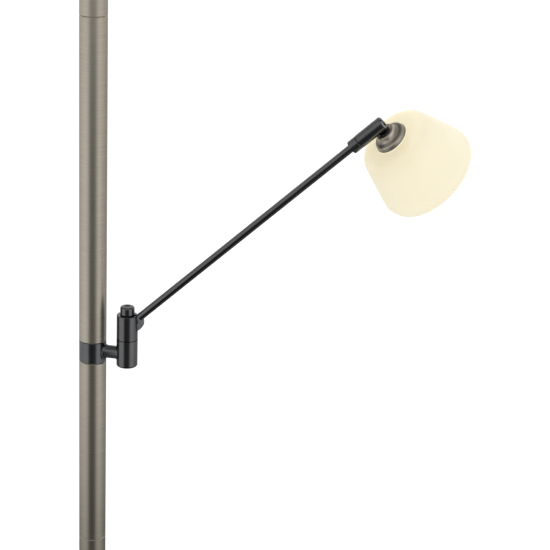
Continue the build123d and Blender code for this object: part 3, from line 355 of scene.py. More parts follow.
def smoothed_copy(name: str, node: str, bevel: float) -> bpy.types.Object:
    """Copies a CAD node, joins its loose triangles and rounds its hard edges a little.

    Args:
        name: the new object's name.
        node: the CAD node to copy.
        bevel: the width of the edge rounding in millimetres.

    Returns:
        The new object.
    """
    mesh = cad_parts[node].data.copy()
    mesh.name = name
    obj = bpy.data.objects.new(name, mesh)
    bpy.context.scene.collection.objects.link(obj)
    shell = bmesh.new()
    shell.from_mesh(mesh)
    bmesh.ops.remove_doubles(shell, verts=shell.verts, dist=MERGE_GAP)
    bmesh.ops.dissolve_limit(shell, angle_limit=FLAT_TURN, verts=shell.verts, edges=shell.edges)
    bmesh.ops.recalc_face_normals(shell, faces=shell.faces)
    for edge in shell.edges:
        edge.smooth = edge.is_manifold and edge.calc_face_angle(0.0) < SHARP_TURN
    for face in shell.faces:
        face.smooth = True
    shell.to_mesh(mesh)
    shell.free()
    if "custom_normal" in mesh.attributes:
        mesh.attributes.remove(mesh.attributes["custom_normal"])
    edge_round = obj.modifiers.new("edge_round", "BEVEL")
    edge_round.width = bevel * MM
    edge_round.segments = 3
    edge_round.limit_method = "ANGLE"
    edge_round.angle_limit = SHARP_TURN
    edge_round.harden_normals = True
    edge_round.use_clamp_overlap = True
    return obj


# ---------------------------------------------------------------------------------------------
# Finishes
# ---------------------------------------------------------------------------------------------


def bare_material(name: str) -> tuple[bpy.types.Material, bpy.types.NodeSocket]:
    """Makes a material without a shader.

    Args:
        name: the material's name.

    Returns:
        The material, and the socket that its shader goes to.
    """
    material = bpy.data.materials.new(name)
    material.use_nodes = True
    material.node_tree.nodes.clear()
    output = material.node_tree.nodes.new("ShaderNodeOutputMaterial")
    return material, output.inputs["Surface"]


def share_along(
    tree: bpy.types.NodeTree, place: bpy.types.NodeSocket, axis: str, length: float
) -> bpy.types.NodeSocket:
    """Returns one coordinate of a place as a share of a length.

    Args:
        tree: the material's nodes.
        place: the place, in metres.
        axis: the coordinate, X, Y or Z.
        length: the length, in metres.

    Returns:
        The coordinate divided by the length.
    """
    split = tree.nodes.new("ShaderNodeSeparateXYZ")
    tree.links.new(place, split.inputs["Vector"])
    share = tree.nodes.new("ShaderNodeMath")
    share.operation = "DIVIDE"
    share.inputs[1].default_value = length
    tree.links.new(split.outputs[axis], share.inputs[0])
    return share.outputs["Value"]


def ramp_of(
    tree: bpy.types.NodeTree, source: bpy.types.NodeSocket, stops: Stops
) -> bpy.types.NodeSocket:
    """Returns a grey that follows a number from 0 to 1.

    Args:
        tree: the material's nodes.
        source: the number.
        stops: places from 0 to 1 and the grey at each; it runs straight between them.

    Returns:
        The grey.
    """
    ramp = tree.nodes.new("ShaderNodeValToRGB")
    elements = ramp.color_ramp.elements
    while len(elements) < len(stops):
        elements.new(0.5)
    for element, (position, value) in zip(elements, stops):
        element.position = position
        element.color = (value, value, value, 1.0)
    tree.links.new(source, ramp.inputs["Fac"])
    return ramp.outputs["Color"]


def product(
    tree: bpy.types.NodeTree, first: bpy.types.NodeSocket, second: bpy.types.NodeSocket
) -> bpy.types.NodeSocket:
    """Returns two colours multiplied with each other.

    Args:
        tree: the material's nodes.
        first: one colour.
        second: the other.

    Returns:
        Their product.
    """
    both = tree.nodes.new("ShaderNodeMix")
    both.data_type = "RGBA"
    both.blend_type = "MULTIPLY"
    both.inputs["Factor"].default_value = 1.0
    tree.links.new(first, both.inputs["A"])
    tree.links.new(second, both.inputs["B"])
    return both.outputs["Result"]


def shade_of(colour: Colour, factor: float) -> Colour:
    """Returns a colour made lighter or darker by a factor."""
    return tuple(min(channel * factor, 1.0) for channel in colour)


class Surface:
    """A node material being built: a Principled shader and the small patterns that feed it."""

    def __init__(self, name: str) -> None:
        """Starts a material with a bare Principled shader.

        Args:
            name: the material's name.
        """
        self.material, output = bare_material(name)
        self.tree = self.material.node_tree
        self.shader = self.tree.nodes.new("ShaderNodeBsdfPrincipled")
        self.join(self.shader.outputs["BSDF"], output)
        self.place = self.tree.nodes.new("ShaderNodeTexCoord")

    def join(self, source: bpy.types.NodeSocket, target: bpy.types.NodeSocket) -> None:
        """Links two sockets."""
        self.tree.links.new(source, target)

    def fixed(self, **values: float | Sequence[float]) -> None:
        """Sets constant values on the shader's own sockets.

        Args:
            values: each socket's value, with _ for a space in the socket's name.
        """
        for key, value in values.items():
            socket = self.shader.inputs[key.replace("_", " ")]
            socket.default_value = (*value, 1.0) if socket.type == "RGBA" else value

    def noise(
        self, scale: tuple[float, float, float], source: str = "Object", detail: float = 3.0
    ) -> bpy.types.NodeSocket:
        """Returns a noise pattern.

        Args:
            scale: its cells per metre along each direction.
            source: the texture coordinate that it lies on.
            detail: how many finer layers lie over it.

        Returns:
            The pattern, from 0 to 1.
        """
        mapping = self.tree.nodes.new("ShaderNodeMapping")
        mapping.inputs["Scale"].default_value = scale
        self.join(self.place.outputs[source], mapping.inputs["Vector"])
        noise = self.tree.nodes.new("ShaderNodeTexNoise")
        noise.inputs["Scale"].default_value = 1.0
        noise.inputs["Detail"].default_value = detail
        noise.inputs["Roughness"].default_value = NOISE_ROUGHNESS
        self.join(mapping.outputs["Vector"], noise.inputs["Vector"])
        return noise.outputs["Fac"]

    def two_tone(
        self, source: bpy.types.NodeSocket, colour: Colour, span: float
    ) -> bpy.types.NodeSocket:
        """Returns a colour made a little darker and lighter by a pattern.

        Args:
            source: the pattern.
            colour: the colour.
            span: the share by which it gets darker at the pattern's low and lighter at its high.

        Returns:
            The patterned colour.
        """
        ramp = self.tree.nodes.new("ShaderNodeValToRGB")
        ends = ((NOISE_LOW, 1.0 - span), (NOISE_HIGH, 1.0 + span))
        for element, (position, factor) in zip(ramp.color_ramp.elements, ends):
            element.position = position
            element.color = (*shade_of(colour, factor), 1.0)
        self.join(source, ramp.inputs["Fac"])
        return ramp.outputs["Color"]

    def banded(self, colour: bpy.types.NodeSocket, bands: Stops) -> bpy.types.NodeSocket:
        """Returns a colour with painted highlights and shade along a turned piece's profile.

        Args:
            colour: the colour.
            bands: runs along the profile in millimetres and the factor at each, or none.

        Returns:
            The banded colour.
        """
        if not bands:
            return colour
        length = bands[-1][0]
        share = share_along(self.tree, self.place.outputs["UV"], "Y", length * MM)
        factor = ramp_of(self.tree, share, [(run / length, value) for run, value in bands])
        return product(self.tree, colour, factor)

    def blur(self, pattern: bpy.types.NodeSocket, roughness: float) -> None:
        """Sets how blurred the reflections are, a little less or more with a pattern.

        Args:
            pattern: the pattern.
            roughness: the middle roughness.
        """
        rule = self.tree.nodes.new("ShaderNodeMapRange")
        rule.inputs["From Min"].default_value = NOISE_LOW
        rule.inputs["From Max"].default_value = NOISE_HIGH
        rule.inputs["To Min"].default_value = roughness - ROUGHNESS_SPAN
        rule.inputs["To Max"].default_value = roughness + ROUGHNESS_SPAN
        self.join(pattern, rule.inputs["Value"])
        self.join(rule.outputs["Result"], self.shader.inputs["Roughness"])

    def bump(self, pattern: bpy.types.NodeSocket, depth: float, strength: float) -> None:
        """Raises the surface by a pattern.

        Args:
            pattern: the pattern.
            depth: the way from its low to its high, in millimetres.
            strength: how much of that shows.
        """
        node = self.tree.nodes.new("ShaderNodeBump")
        node.inputs["Distance"].default_value = depth * MM
        node.inputs["Strength"].default_value = strength
        self.join(pattern, node.inputs["Height"])
        self.join(node.outputs["Normal"], self.shader.inputs["Normal"])


@dataclass(frozen=True)
class Metal:
    """A bare or plated metal with fine working marks.

    Attributes:
        name: the material's name.
        colour: its reflection colour.
        roughness: how blurred its reflections are.
        grain: how its marks lie.
        fineness: marks per metre across the grain.
        length: marks per metre along the grain, where it has one.
        depth: the marks' depth in millimetres.
        contrast: how far the marks change the colour.
        bands: painted highlights and shade along the profile, as runs in mm and factors.
        clouds: patches of a slightly different gloss per metre.
        round_clouds: the same where the marks run round the piece.
        relief: how much of the marks' depth shows.
    """

    name: str
    colour: Colour
    roughness: float
    grain: Grain = Grain.EVEN
    fineness: float = 2600.0
    length: float = 18.0
    depth: float = 0.004
    contrast: float = 0.06
    bands: Stops = ()
    clouds: float = 45.0
    round_clouds: float = 9.0
    relief: float = 0.5

    def build(self) -> bpy.types.Material:
        """Returns the material."""
        s = Surface(self.name)
        s.fixed(Metallic=1.0)
        if self.grain is Grain.ROUND:
            marks = s.noise((self.length, self.fineness, 1.0), "UV", 2.0)
            clouds = s.noise((self.round_clouds, self.round_clouds, 1.0), "UV")
        else:
            marks = s.noise((self.fineness,) * 3, detail=2.0)
            clouds = s.noise((self.clouds,) * 3)
        # The bands are painted highlights and painted shade.
        body = s.banded(s.two_tone(marks, self.colour, self.contrast), self.bands)
        s.join(body, s.shader.inputs["Base Color"])
        s.blur(clouds, self.roughness)
        s.bump(marks, self.depth, self.relief)
        return s.material


@dataclass(frozen=True)
class Coating:
    """A paint, plastic, rubber or ceramic: a coloured body with a gloss and a fine texture.

    Attributes:
        name: the material's name.
        colour: its body colour.
        roughness: how blurred its reflections are.
        gloss: the specular level, half for a plain plastic.
        metallic: how far it reflects like a metal.
        cell: grains of the texture per metre.
        depth: the texture's depth in millimetres.
        mottle: how far the colour varies.
        coat: weight of a clear coat.
        glow: a painted glow, as if lit by the glass beside it, as a share of white.
        bands: painted shade in a dip or at a rim, as runs along the profile in mm and factors.
        clouds: patches of a slightly different colour and gloss per metre.
        relief: how much of the texture's depth shows.
        coat_roughness: how blurred the clear coat's reflections are.
    """

    name: str
    colour: Colour
    roughness: float
    gloss: float = 0.5
    metallic: float = 0.0
    cell: float = 2200.0
    depth: float = 0.01
    mottle: float = 0.04
    coat: float = 0.0
    glow: float = 0.0
    bands: Stops = ()
    clouds: float = 60.0
    relief: float = 0.4
    coat_roughness: float = 0.08

    def build(self) -> bpy.types.Material:
        """Returns the material."""
        s = Surface(self.name)
        s.fixed(Metallic=self.metallic, Specular_IOR_Level=self.gloss)
        grains = s.noise((self.cell,) * 3, detail=2.0)
        clouds = s.noise((self.clouds,) * 3, detail=4.0)
        # The bands are painted shade.
        body = s.banded(s.two_tone(clouds, self.colour, self.mottle), self.bands)
        s.join(body, s.shader.inputs["Base Color"])
        s.blur(clouds, self.roughness)
        s.bump(grains, self.depth, self.relief)
        if self.coat > 0:
            s.fixed(
                Coat_Weight=self.coat, Coat_Roughness=self.coat_roughness, Coat_IOR=GLASS_IOR
            )
        # A painted glow, as if lit by the glass beside it.
        if self.glow > 0:
            s.fixed(Emission_Color=self.colour, Emission_Strength=self.glow)
        return s.material


@dataclass(frozen=True)
class OpalGlass:
    """Blown opal glass: a milky body under a satin skin, with faint clouds and a slow waviness.

    Attributes:
        name: the material's name.
        colour: the body's colour.
        roughness: the skin's roughness.
        depth_of_light: how far light spreads inside, in millimetres.
        milk: weight of the light that spreads inside.
        glow: emission, as a share of white: a painted glow on the shade and the bowl, a lamp's own
            light.
        dense: how much colour stays round the hole, thicker glass and painted shade, one for all of
            it.
        thick: how far from the hole it stays deepest, in millimetres.
        thin: where it has faded to the plain wall's colour, in millimetres from the hole.
        absorbed: how fast each channel falls off with the glass's thickness, as powers.
        spread: how far each channel spreads inside, as shares of the depth of light.
        clouds: faint patches of the body's colour per metre.
        cloud_span: how far they change it.
        ripples: waves of the skin per metre.
        ripple_depth: their depth in millimetres.
        relief: how much of that depth shows.
        gloss: the specular level.
    """

    name: str
    colour: Colour
    roughness: float
    depth_of_light: float
    milk: float
    glow: float
    dense: float = 1.0
    thick: float = 16.0
    thin: float = 70.0
    absorbed: Colour = (0.9, 1.0, 1.25)
    spread: Colour = (1.0, 0.85, 0.6)
    clouds: float = 22.0
    cloud_span: float = 0.015
    ripples: float = 70.0
    ripple_depth: float = 0.02
    relief: float = 0.3
    gloss: float = 0.2

    def thick_glass_and_painted_shade(self, s: Surface, colour: bpy.types.NodeSocket) -> bpy.types.NodeSocket:
        """Returns a colour made deeper round the hole: thicker blown glass and painted shade.

        The factor follows the run along the profile, the texture's second number: it is deep up to
        the first length and rises smoothly to one at the second.

        Args:
            s: the surface.
            colour: its colour.

        Returns:
            The deepened colour.
        """
        split = s.tree.nodes.new("ShaderNodeSeparateXYZ")
        s.join(s.place.outputs["UV"], split.inputs["Vector"])
        rule = s.tree.nodes.new("ShaderNodeMapRange")
        rule.interpolation_type = "SMOOTHSTEP"
        rule.inputs["From Min"].default_value = self.thick * MM
        rule.inputs["From Max"].default_value = self.thin * MM
        s.join(split.outputs["Y"], rule.inputs["Value"])
        tone = s.tree.nodes.new("ShaderNodeMix")
        tone.data_type = "RGBA"
        tone.inputs["A"].default_value = (*(self.dense**power for power in self.absorbed), 1.0)
        tone.inputs["B"].default_value = WHITE
        s.join(rule.outputs["Result"], tone.inputs["Factor"])
        return product(s.tree, colour, tone.outputs["Result"])

    def build(self) -> bpy.types.Material:
        """Returns the material."""
        s = Surface(self.name)
        clouds = s.noise((self.clouds,) * 3)
        ripple = s.noise((self.ripples,) * 3, detail=1.0)
        body = s.two_tone(clouds, self.colour, self.cloud_span)
        # Deepens the colour round the hole: thicker blown glass, and painted shade next to the cap
        # or cup.
        if self.dense < 1.0:
            body = self.thick_glass_and_painted_shade(s, body)
        s.join(body, s.shader.inputs["Base Color"])
        # Emission of the body's colour: a painted glow on the shade and the bowl.
        s.join(body, s.shader.inputs["Emission Color"])
        s.blur(ripple, self.roughness)
        s.fixed(
            Subsurface_Weight=self.milk,
            Subsurface_Radius=self.spread,
            Subsurface_Scale=self.depth_of_light * MM,
            Specular_IOR_Level=self.gloss,
            IOR=GLASS_IOR,
            Emission_Strength=self.glow,
        )
        s.bump(ripple, self.ripple_depth, self.relief)
        return s.material


class FinishBook:
    """The lamp's finishes, each made once and handed out by name."""

    def __init__(self) -> None:
        """Builds every finish."""
        self.make_metals()
        self.make_coatings()
        self.make_glass()

    def make_metals(self) -> None:
        """Builds the brushed, turned and plated metals."""
        brushed = (0.47, 0.431, 0.36)
        olive = (0.42, 0.385, 0.32)
        glint = (0.783, 0.722, 0.614)
        # Painted highlights and painted shade along the cap's profile, as runs in millimetres and
        # factors: bright on the cone, dark in the cove.
        lathe = (
            (0.0, 0.41),
            (4.3, 0.41),
            (5.3, 0.57),
            (5.9, 0.50),
            (6.6, 1.0),
            (8.0, 0.72),
            (9.0, 0.60),
            (10.4, 0.54),
            (11.6, 0.56),
            (12.6, 0.27),
            (14.0, 0.27),
            (15.2, 0.48),
            (16.0, 0.66),
            (17.2, 0.66),
            (19.2, 0.45),
            (19.8, 0.28),
            (21.0, 0.28),
        )
        self.tube = Metal(
            "olive_nickel_tube", brushed, 0.38, Grain.ROUND, 1500.0, 14.0, 0.005, 0.17
        ).build()
        self.turned = Metal(
            "olive_nickel_turned", olive, 0.28, Grain.ROUND, 5200.0, 30.0, 0.003, 0.06
        ).build()
        self.cap = Metal(
            "olive_nickel_painted_bands", glint, 0.40, Grain.ROUND, 4200.0, 24.0, 0.003, 0.06, lathe
        ).build()
        self.plate = Metal(
            "knuckle_satin", (0.30, 0.31, 0.32), 0.30, depth=0.003, contrast=0.05
        ).build()
        self.steel = Metal(
            "zinc_steel", (0.62, 0.63, 0.64), 0.33, fineness=1800.0, depth=0.006, contrast=0.08
        ).build()
        self.alloy = Metal(
            "turned_alloy", (0.72, 0.73, 0.74), 0.35, fineness=1800.0, depth=0.006
        ).build()
        self.brass = Metal(
            "bearing_brass", (0.78, 0.60, 0.30), 0.3, fineness=1800.0, depth=0.006
        ).build()

    def make_coatings(self) -> None:
        """Builds the black satin, the plastics, the rubbers, the iron and the ceramic."""
        ink = (0.129, 0.131, 0.136)
        soot = (0.035, 0.035, 0.036)
        # Painted shade in the knob's dished top, as runs in millimetres and factors.
        dish = ((0.0, 1.0), (24.0, 1.0), (24.7, 0.55), (28.9, 0.55))
        self.black = Coating("black_satin", ink, 0.19, 0.5, 1.0, 2600.0, 0.004, 0.05).build()
        self.knob = Coating(
            "black_satin_knob", ink, 0.19, 0.5, 1.0, 2600.0, 0.004, 0.05, bands=dish
        ).build()
        # The gasket's glow is a painted glow, as if lit by the glass beside it.
        self.gasket = Coating(
            "cream_silicone", (0.96, 0.90, 0.68), 0.45, 0.4, 0.0, 1500.0, mottle=0.03, glow=0.26
        ).build()
        self.iron = Coating(
            "cast_iron_dip", (0.06, 0.06, 0.062), 0.6, 0.4, 0.2, 500.0, 0.12, 0.2
        ).build()
        self.rubber = Coating("foot_rubber", soot, 0.75, 0.3, 0.0, 900.0, 0.06, 0.15).build()
        self.nylon = Coating("black_nylon", soot, 0.5, 0.4, 0.0, 900.0, 0.02).build()
        self.case = Coating(
            "black_moulding", (0.03, 0.03, 0.031), 0.5, 0.5, 0.0, 1200.0, 0.02, 0.08
        ).build()
        self.ceramic = Coating(
            "glazed_ceramic", (0.84, 0.82, 0.77), 0.2, 0.5, 0.0, 300.0, 0.02, 0.03, coat=0.4
        ).build()
        self.holder = Coating(
            "white_heatproof", (0.80, 0.79, 0.75), 0.42, 0.5, 0.0, 1400.0, 0.02, 0.03
        ).build()

    def make_glass(self) -> None:
        """Builds the glass of the shade, the bowl and the lamps."""
        cream = (0.62, 0.578, 0.468)
        # The shade's and the bowl's glow of 0.43 is a painted glow that flattens their shading; the
        # bulb's glow is its own light.
        self.shade_glass = OpalGlass(
            "cream_opal_glass", cream, 0.6, 20.0, 1.0, 0.43, dense=0.88, thick=9.0, thin=45.0
        ).build()
        self.bowl_glass = OpalGlass(
            "cream_opal_bowl", cream, 0.6, 20.0, 1.0, 0.43, dense=0.88, thick=24.0, thin=110.0
        ).build()
        self.bulb = OpalGlass(
            "frosted_lamp_glass", (0.88, 0.87, 0.83), 0.35, 3.0, 0.2, 0.3
        ).build()


def dress(
    piece: bpy.types.Object, finish: bpy.types.Material, body: Body, slot: str, *nodes: str
) -> None:
    """Gives a piece its finish and its body, and hides the CAD nodes that it stands for.

    Args:
        piece: the piece.
        finish: its finish.
        body: the body that it rides on.
        slot: not used.
        nodes: the CAD nodes that it replaces.
    """
    piece.data.materials.clear()
    piece.data.materials.append(finish)
    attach(piece, body.value)
    for node in nodes:
        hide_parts(node)
    LOG.info("%s rides on %s", piece.name, body.value)


def coat_node(node: str, finish: bpy.types.Material) -> None:
    """Gives a CAD node, whose own shape stays, its finish.

    Args:
        node: the node's name.
        finish: its finish.
    """
    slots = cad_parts[node].data.materials
    slots.clear()
    slots.append(finish)
    LOG.info("%s keeps its solid", node)


# ---------------------------------------------------------------------------------------------
# Sub-assemblies
# ---------------------------------------------------------------------------------------------

POLE_AXLE = Axle((0.0, 0.0, 0.0), (1.0, 0.0, 0.0), (0.0, 0.0, 1.0))


def ring(inner: float, outer: float, low: float, high: float, rounding: float) -> list[Corner]:
    """Returns the profile of a plain ring with all four corners rounded alike.

    Args:
        inner: its inner radius.
        outer: its outer radius.
        low: where it starts along the axis.
        high: where it ends.
        rounding: its corners' rounding.

    Returns:
        The four corners.
    """
    return [
        Corner(inner, low, rounding),
        Corner(outer, low, rounding),
        Corner(outer, high, rounding),
        Corner(inner, high, rounding),
    ]


@dataclass
class Foot:
    """The round foot: its cover, pad, weight, cable inlet and the trim ring at the pole."""

    radius: float = 145.0
    wall: float = 1.2
    rim_height: float = 1.0
    edge_height: float = 13.0
    edge_round: float = 3.0
    land_height: float = 21.0
    land_radius: float = 34.0
    land_round: float = 6.0
    hole: float = 5.05
    pad_radius: float = 140.0
    pad_thickness: float = 2.0
    ring_bore: float = 15.05
    ring_radius: float = 21.0
    ring_bottom: float = 21.05
    ring_height: float = 7.0
    ring_round: float = 3.0
    inlet_height: float = 5.6
    inlet_bore: float = 2.0
    inlet_neck: float = 3.0
    inlet_flange: float = 4.2
    inlet_flange_thickness: float = 1.2
    inlet_slack: float = 0.15

    def cover(self) -> bpy.types.Object:
        """Returns the spun cover: a shallow cone with a rolled rim, its wall the same all over."""
        w = self.wall
        corners = [
            Corner(self.hole, self.land_height - w, 0.1),
            Corner(self.land_radius, self.land_height - w, self.land_round),
            Corner(self.radius - w, self.edge_height - w, self.edge_round - w),
            Corner(self.radius - w, self.rim_height, 0.3),
            Corner(self.radius, self.rim_height, 0.5),
            Corner(self.radius, self.edge_height, self.edge_round),
            Corner(self.land_radius, self.land_height, self.land_round),
            Corner(self.hole, self.land_height, 0.1),
        ]
        return turned("foot_cover_spun", trace(corners, steps=10), POLE_AXLE, turns=160)

    def pad(self) -> bpy.types.Object:
        """Returns the rubber pad, a flat disc with a softened edge."""
        corners = [
            Corner(0.0, 0.0),
            Corner(self.pad_radius, 0.0, 0.6),
            Corner(self.pad_radius, self.pad_thickness, 0.4),
            Corner(0.0, self.pad_thickness),
        ]
        return turned("foot_pad_disc", trace(corners, closed=False), POLE_AXLE, turns=128)

    def trim_ring(self) -> bpy.types.Object:
        """Returns the turned ring that hides the pole's lower end."""
        top = self.ring_bottom + self.ring_height
        corners = [
            Corner(self.ring_bore, self.ring_bottom, 0.15),
            Corner(self.ring_radius, self.ring_bottom, 0.3),
            Corner(self.ring_radius, top, self.ring_round),
            Corner(self.ring_bore, top, 0.4),
        ]
        return turned("foot_ring_turned", trace(corners), POLE_AXLE)

    def inlet(self) -> bpy.types.Object:
        """Returns the grommet in the foot's rim: two flanges either side of the cover's wall."""
        axle = Axle((0.0, 0.0, self.inlet_height), (0.0, 1.0, 0.0), (-1.0, 0.0, 0.0))
        start = self.radius - self.wall - self.inlet_slack
        end = self.radius + self.inlet_slack
        t = self.inlet_flange_thickness
        corners = [
            Corner(self.inlet_bore, start - t, 0.2),
            Corner(self.inlet_flange, start - t, 0.3),
            Corner(self.inlet_flange, start, 0.1),
            Corner(self.inlet_neck, start, 0.1),
            Corner(self.inlet_neck, end, 0.1),
            Corner(self.inlet_flange, end, 0.1),
            Corner(self.inlet_flange, end + t, 0.45),
            Corner(self.inlet_bore, end + t, 0.4),
        ]
        return turned("cable_inlet", trace(corners), axle, turns=64)

    def make(self, book: FinishBook) -> None:
        """Builds and dresses the foot.

        Args:
            book: the finishes.
        """
        dress(self.cover(), book.turned, Body.STAND, "brushed_bronze", "foot_cover")
        dress(self.pad(), book.rubber, Body.STAND, "foot_rubber", "foot_pad")
        dress(self.trim_ring(), book.turned, Body.STAND, "polished_bronze", "foot_ring")
        dress(self.inlet(), book.rubber, Body.STAND, "grommet_rubber", "cable_grommet")
        coat_node("foot_weight", book.iron)
        coat_node("foot_plug", book.alloy)
        for node in ("foot_tie", "foot_nut", "foot_washer"):
            coat_node(node, book.steel)


@dataclass
class Pole:
    """The pole's five tubes, their couplers and the plug at the top."""

    radius: float = 15.0
    wall: float = 1.5
    edge_break: float = 0.6
    bevel_round: float = 0.15
    bore_round: float = 0.1
    seam: float = 0.05
    foot_end: float = 21.05
    joints: tuple[float, float, float] = (497.5, 974.0, 1572.0)
    collar_bottom: float = 1188.0
    collar_top: float = 1212.0
    top: float = 1668.0
    names: tuple[str, ...] = (
        "lower_tube",
        "middle_tube",
        "bracket_lower_tube",
        "bracket_upper_tube",
        "top_tube",
    )

    def tube(self, name: str, low: float, high: float) -> bpy.types.Object:
        """Returns one tube: its outer ends are bevelled, and each bevel's corners softened.

        Args:
            name: the tube's node.
            low: the height of its lower end.
            high: the height of its upper end.

        Returns:
            The tube.
        """
        b, soft = self.edge_break, self.bevel_round
        inner = self.radius - self.wall
        corners = [
            Corner(inner, low, self.bore_round),
            Corner(self.radius - b, low, soft),
            Corner(self.radius, low + b, soft),
            Corner(self.radius, high - b, soft),
            Corner(self.radius - b, high, soft),
            Corner(inner, high, self.bore_round),
        ]
        return turned(name + "_brushed", trace(corners, steps=3), POLE_AXLE, turns=128)

    def ends(self) -> list[tuple[float, float]]:
        """Returns each tube's lower and upper end, from the foot up."""
        lower, middle, upper = self.joints
        return [
            (self.foot_end, lower),
            (lower + self.seam, middle),
            (middle + self.seam, self.collar_bottom - self.seam),
            (self.collar_top + self.seam, upper),
            (upper + self.seam, self.top),
        ]

    def make(self, book: FinishBook) -> None:
        """Builds and dresses the pole.

        Args:
            book: the finishes.
        """
        for name, (low, high) in zip(self.names, self.ends()):
            dress(self.tube(name, low, high), book.tube, Body.STAND, "brushed_bronze", name)
        coat_node("tube_couplers", book.alloy)
        coat_node("top_plug", book.alloy)


@dataclass
class Bracket:
    """The black bracket on the pole, the swivel barrel on it and the dimmer's knob."""

    barrel_reach: float = 39.4
    knob_radius: float = 7.9
    knob_bottom: float = 1245.9
    knob_height: float = 9.3
    knob_round: float = 2.2
    knob_foot: float = 0.3
    dish_radius: float = 4.2
    dish_round: float = 0.3
    dish_depth: float = 1.4
    shaft_radius: float = 2.05
    shaft_top: float = 1252.65
    bore_round: float = 0.1
    casting_edge: float = 0.25
    plug_edge: float = 0.1
    screw_edge: float = 0.08

    def knob(self) -> bpy.types.Object:
        """Returns the dimmer's knob: a drum with a rounded shoulder and a dished top.

        The dish is a cone whose depth grows in step with the distance from its rim.
        """
        axle = Axle((self.barrel_reach, 0.0, 0.0), (1.0, 0.0, 0.0), (0.0, 0.0, 1.0))
        top = self.knob_bottom + self.knob_height
        corners = [
            Corner(0.0, self.shaft_top),
            Corner(self.shaft_radius, self.shaft_top, self.bore_round),
            Corner(self.shaft_radius, self.knob_bottom, self.bore_round),
            Corner(self.knob_radius, self.knob_bottom, self.knob_foot),
            Corner(self.knob_radius, top, self.knob_round),
            Corner(self.dish_radius, top, self.dish_round),
            Corner(0.0, top - self.dish_depth),
        ]
        return turned("dimmer_knob_turned", trace(corners, closed=False, steps=8), axle)

    def make(self, book: FinishBook) -> None:
        """Builds and dresses the bracket, the swivel and the knob.

        Args:
            book: the finishes.
        """
        casting = smoothed_copy("pole_bracket_casting", "pole_bracket", self.casting_edge)
        dress(casting, book.black, Body.STAND, "black_satin", "pole_bracket")
        plug = smoothed_copy("barrel_plug_turned", "barrel_plug", self.plug_edge)
        dress(plug, book.black, Body.STAND, "black_satin", "barrel_plug")
        barrel = smoothed_copy("upper_barrel_milled", "upper_barrel", self.casting_edge)
        dress(barrel, book.black, Body.SWIVEL, "black_satin", "upper_barrel")
        dress(self.knob(), book.knob, Body.KNOB, "black_satin", "dimmer_knob")
        screw = smoothed_copy("arm_pivot_screw_head", "arm_pivot_screw", self.screw_edge)
        dress(screw, book.steel, Body.SWIVEL, "zinc_steel", "arm_pivot_screw")
        coat_node("swivel_bush", book.brass)
        coat_node("arm_friction_washers", book.nylon)
        coat_node("dimmer_module", book.case)
        for node in ("swivel_spindle", "swivel_washer", "swivel_spring", "swivel_nut"):
            coat_node(node, book.steel)
        coat_node("dimmer_shaft", book.steel)


@dataclass
class Arm:
    """The arm: the knuckle in the barrel's slot, the long rod and the ferrule at its end."""

    elevation: float = 43.15
    length: float = 352.8
    pivot: tuple[float, float, float] = (47.6, 0.0, 1238.6)
    rod_radius: float = 4.2
    rod_edge: float = 0.12
    knuckle_edge: float = 0.2
    ferrule_radius: float = 7.3
    ferrule_start: float = 315.9
    ferrule_end: float = 326.2
    ferrule_step: float = 323.0
    ferrule_bore: float = 2.55
    edge_break: float = 0.6

    def direction(self) -> np.ndarray:
        """Returns the rod's direction: level turned up by the elevation."""
        angle = math.radians(self.elevation)
        return np.array([math.cos(angle), 0.0, math.sin(angle)])

    def hanging(self) -> np.ndarray:
        """Returns the direction square to the rod that points down and out."""
        angle = math.radians(self.elevation)
        return np.array([math.sin(angle), 0.0, -math.cos(angle)])

    def axle(self) -> Axle:
        """Returns the frame along the rod, from the pivot in the barrel."""
        return Axle(self.pivot, (0.0, 1.0, 0.0), tuple(self.direction()))

    def ferrule(self) -> bpy.types.Object:
        """Returns the turned ferrule at the rod's end."""
        bore = self.rod_radius + CLOSE_FIT
        corners = [
            Corner(bore, self.ferrule_start, 0.15),
            Corner(self.ferrule_radius, self.ferrule_start, self.edge_break),
            Corner(self.ferrule_radius, self.ferrule_end, self.edge_break),
            Corner(self.ferrule_bore, self.ferrule_end, 0.15),
            Corner(self.ferrule_bore, self.ferrule_step, 0.1),
            Corner(bore, self.ferrule_step, 0.1),
        ]
        return turned("rod_ferrule_turned", trace(corners), self.axle())

    def make(self, book: FinishBook) -> None:
        """Builds and dresses the arm.

        Args:
            book: the finishes.
        """
        rod = smoothed_copy("arm_rod_brushed", "arm_rod", self.rod_edge)
        dress(rod, book.black, Body.ARM, "black_satin", "arm_rod")
        knuckle = smoothed_copy("arm_knuckle_milled", "arm_knuckle", self.knuckle_edge)
        dress(knuckle, book.plate, Body.ARM, "black_satin", "arm_knuckle")
        dress(self.ferrule(), book.black, Body.ARM, "black_satin", "rod_ferrule")


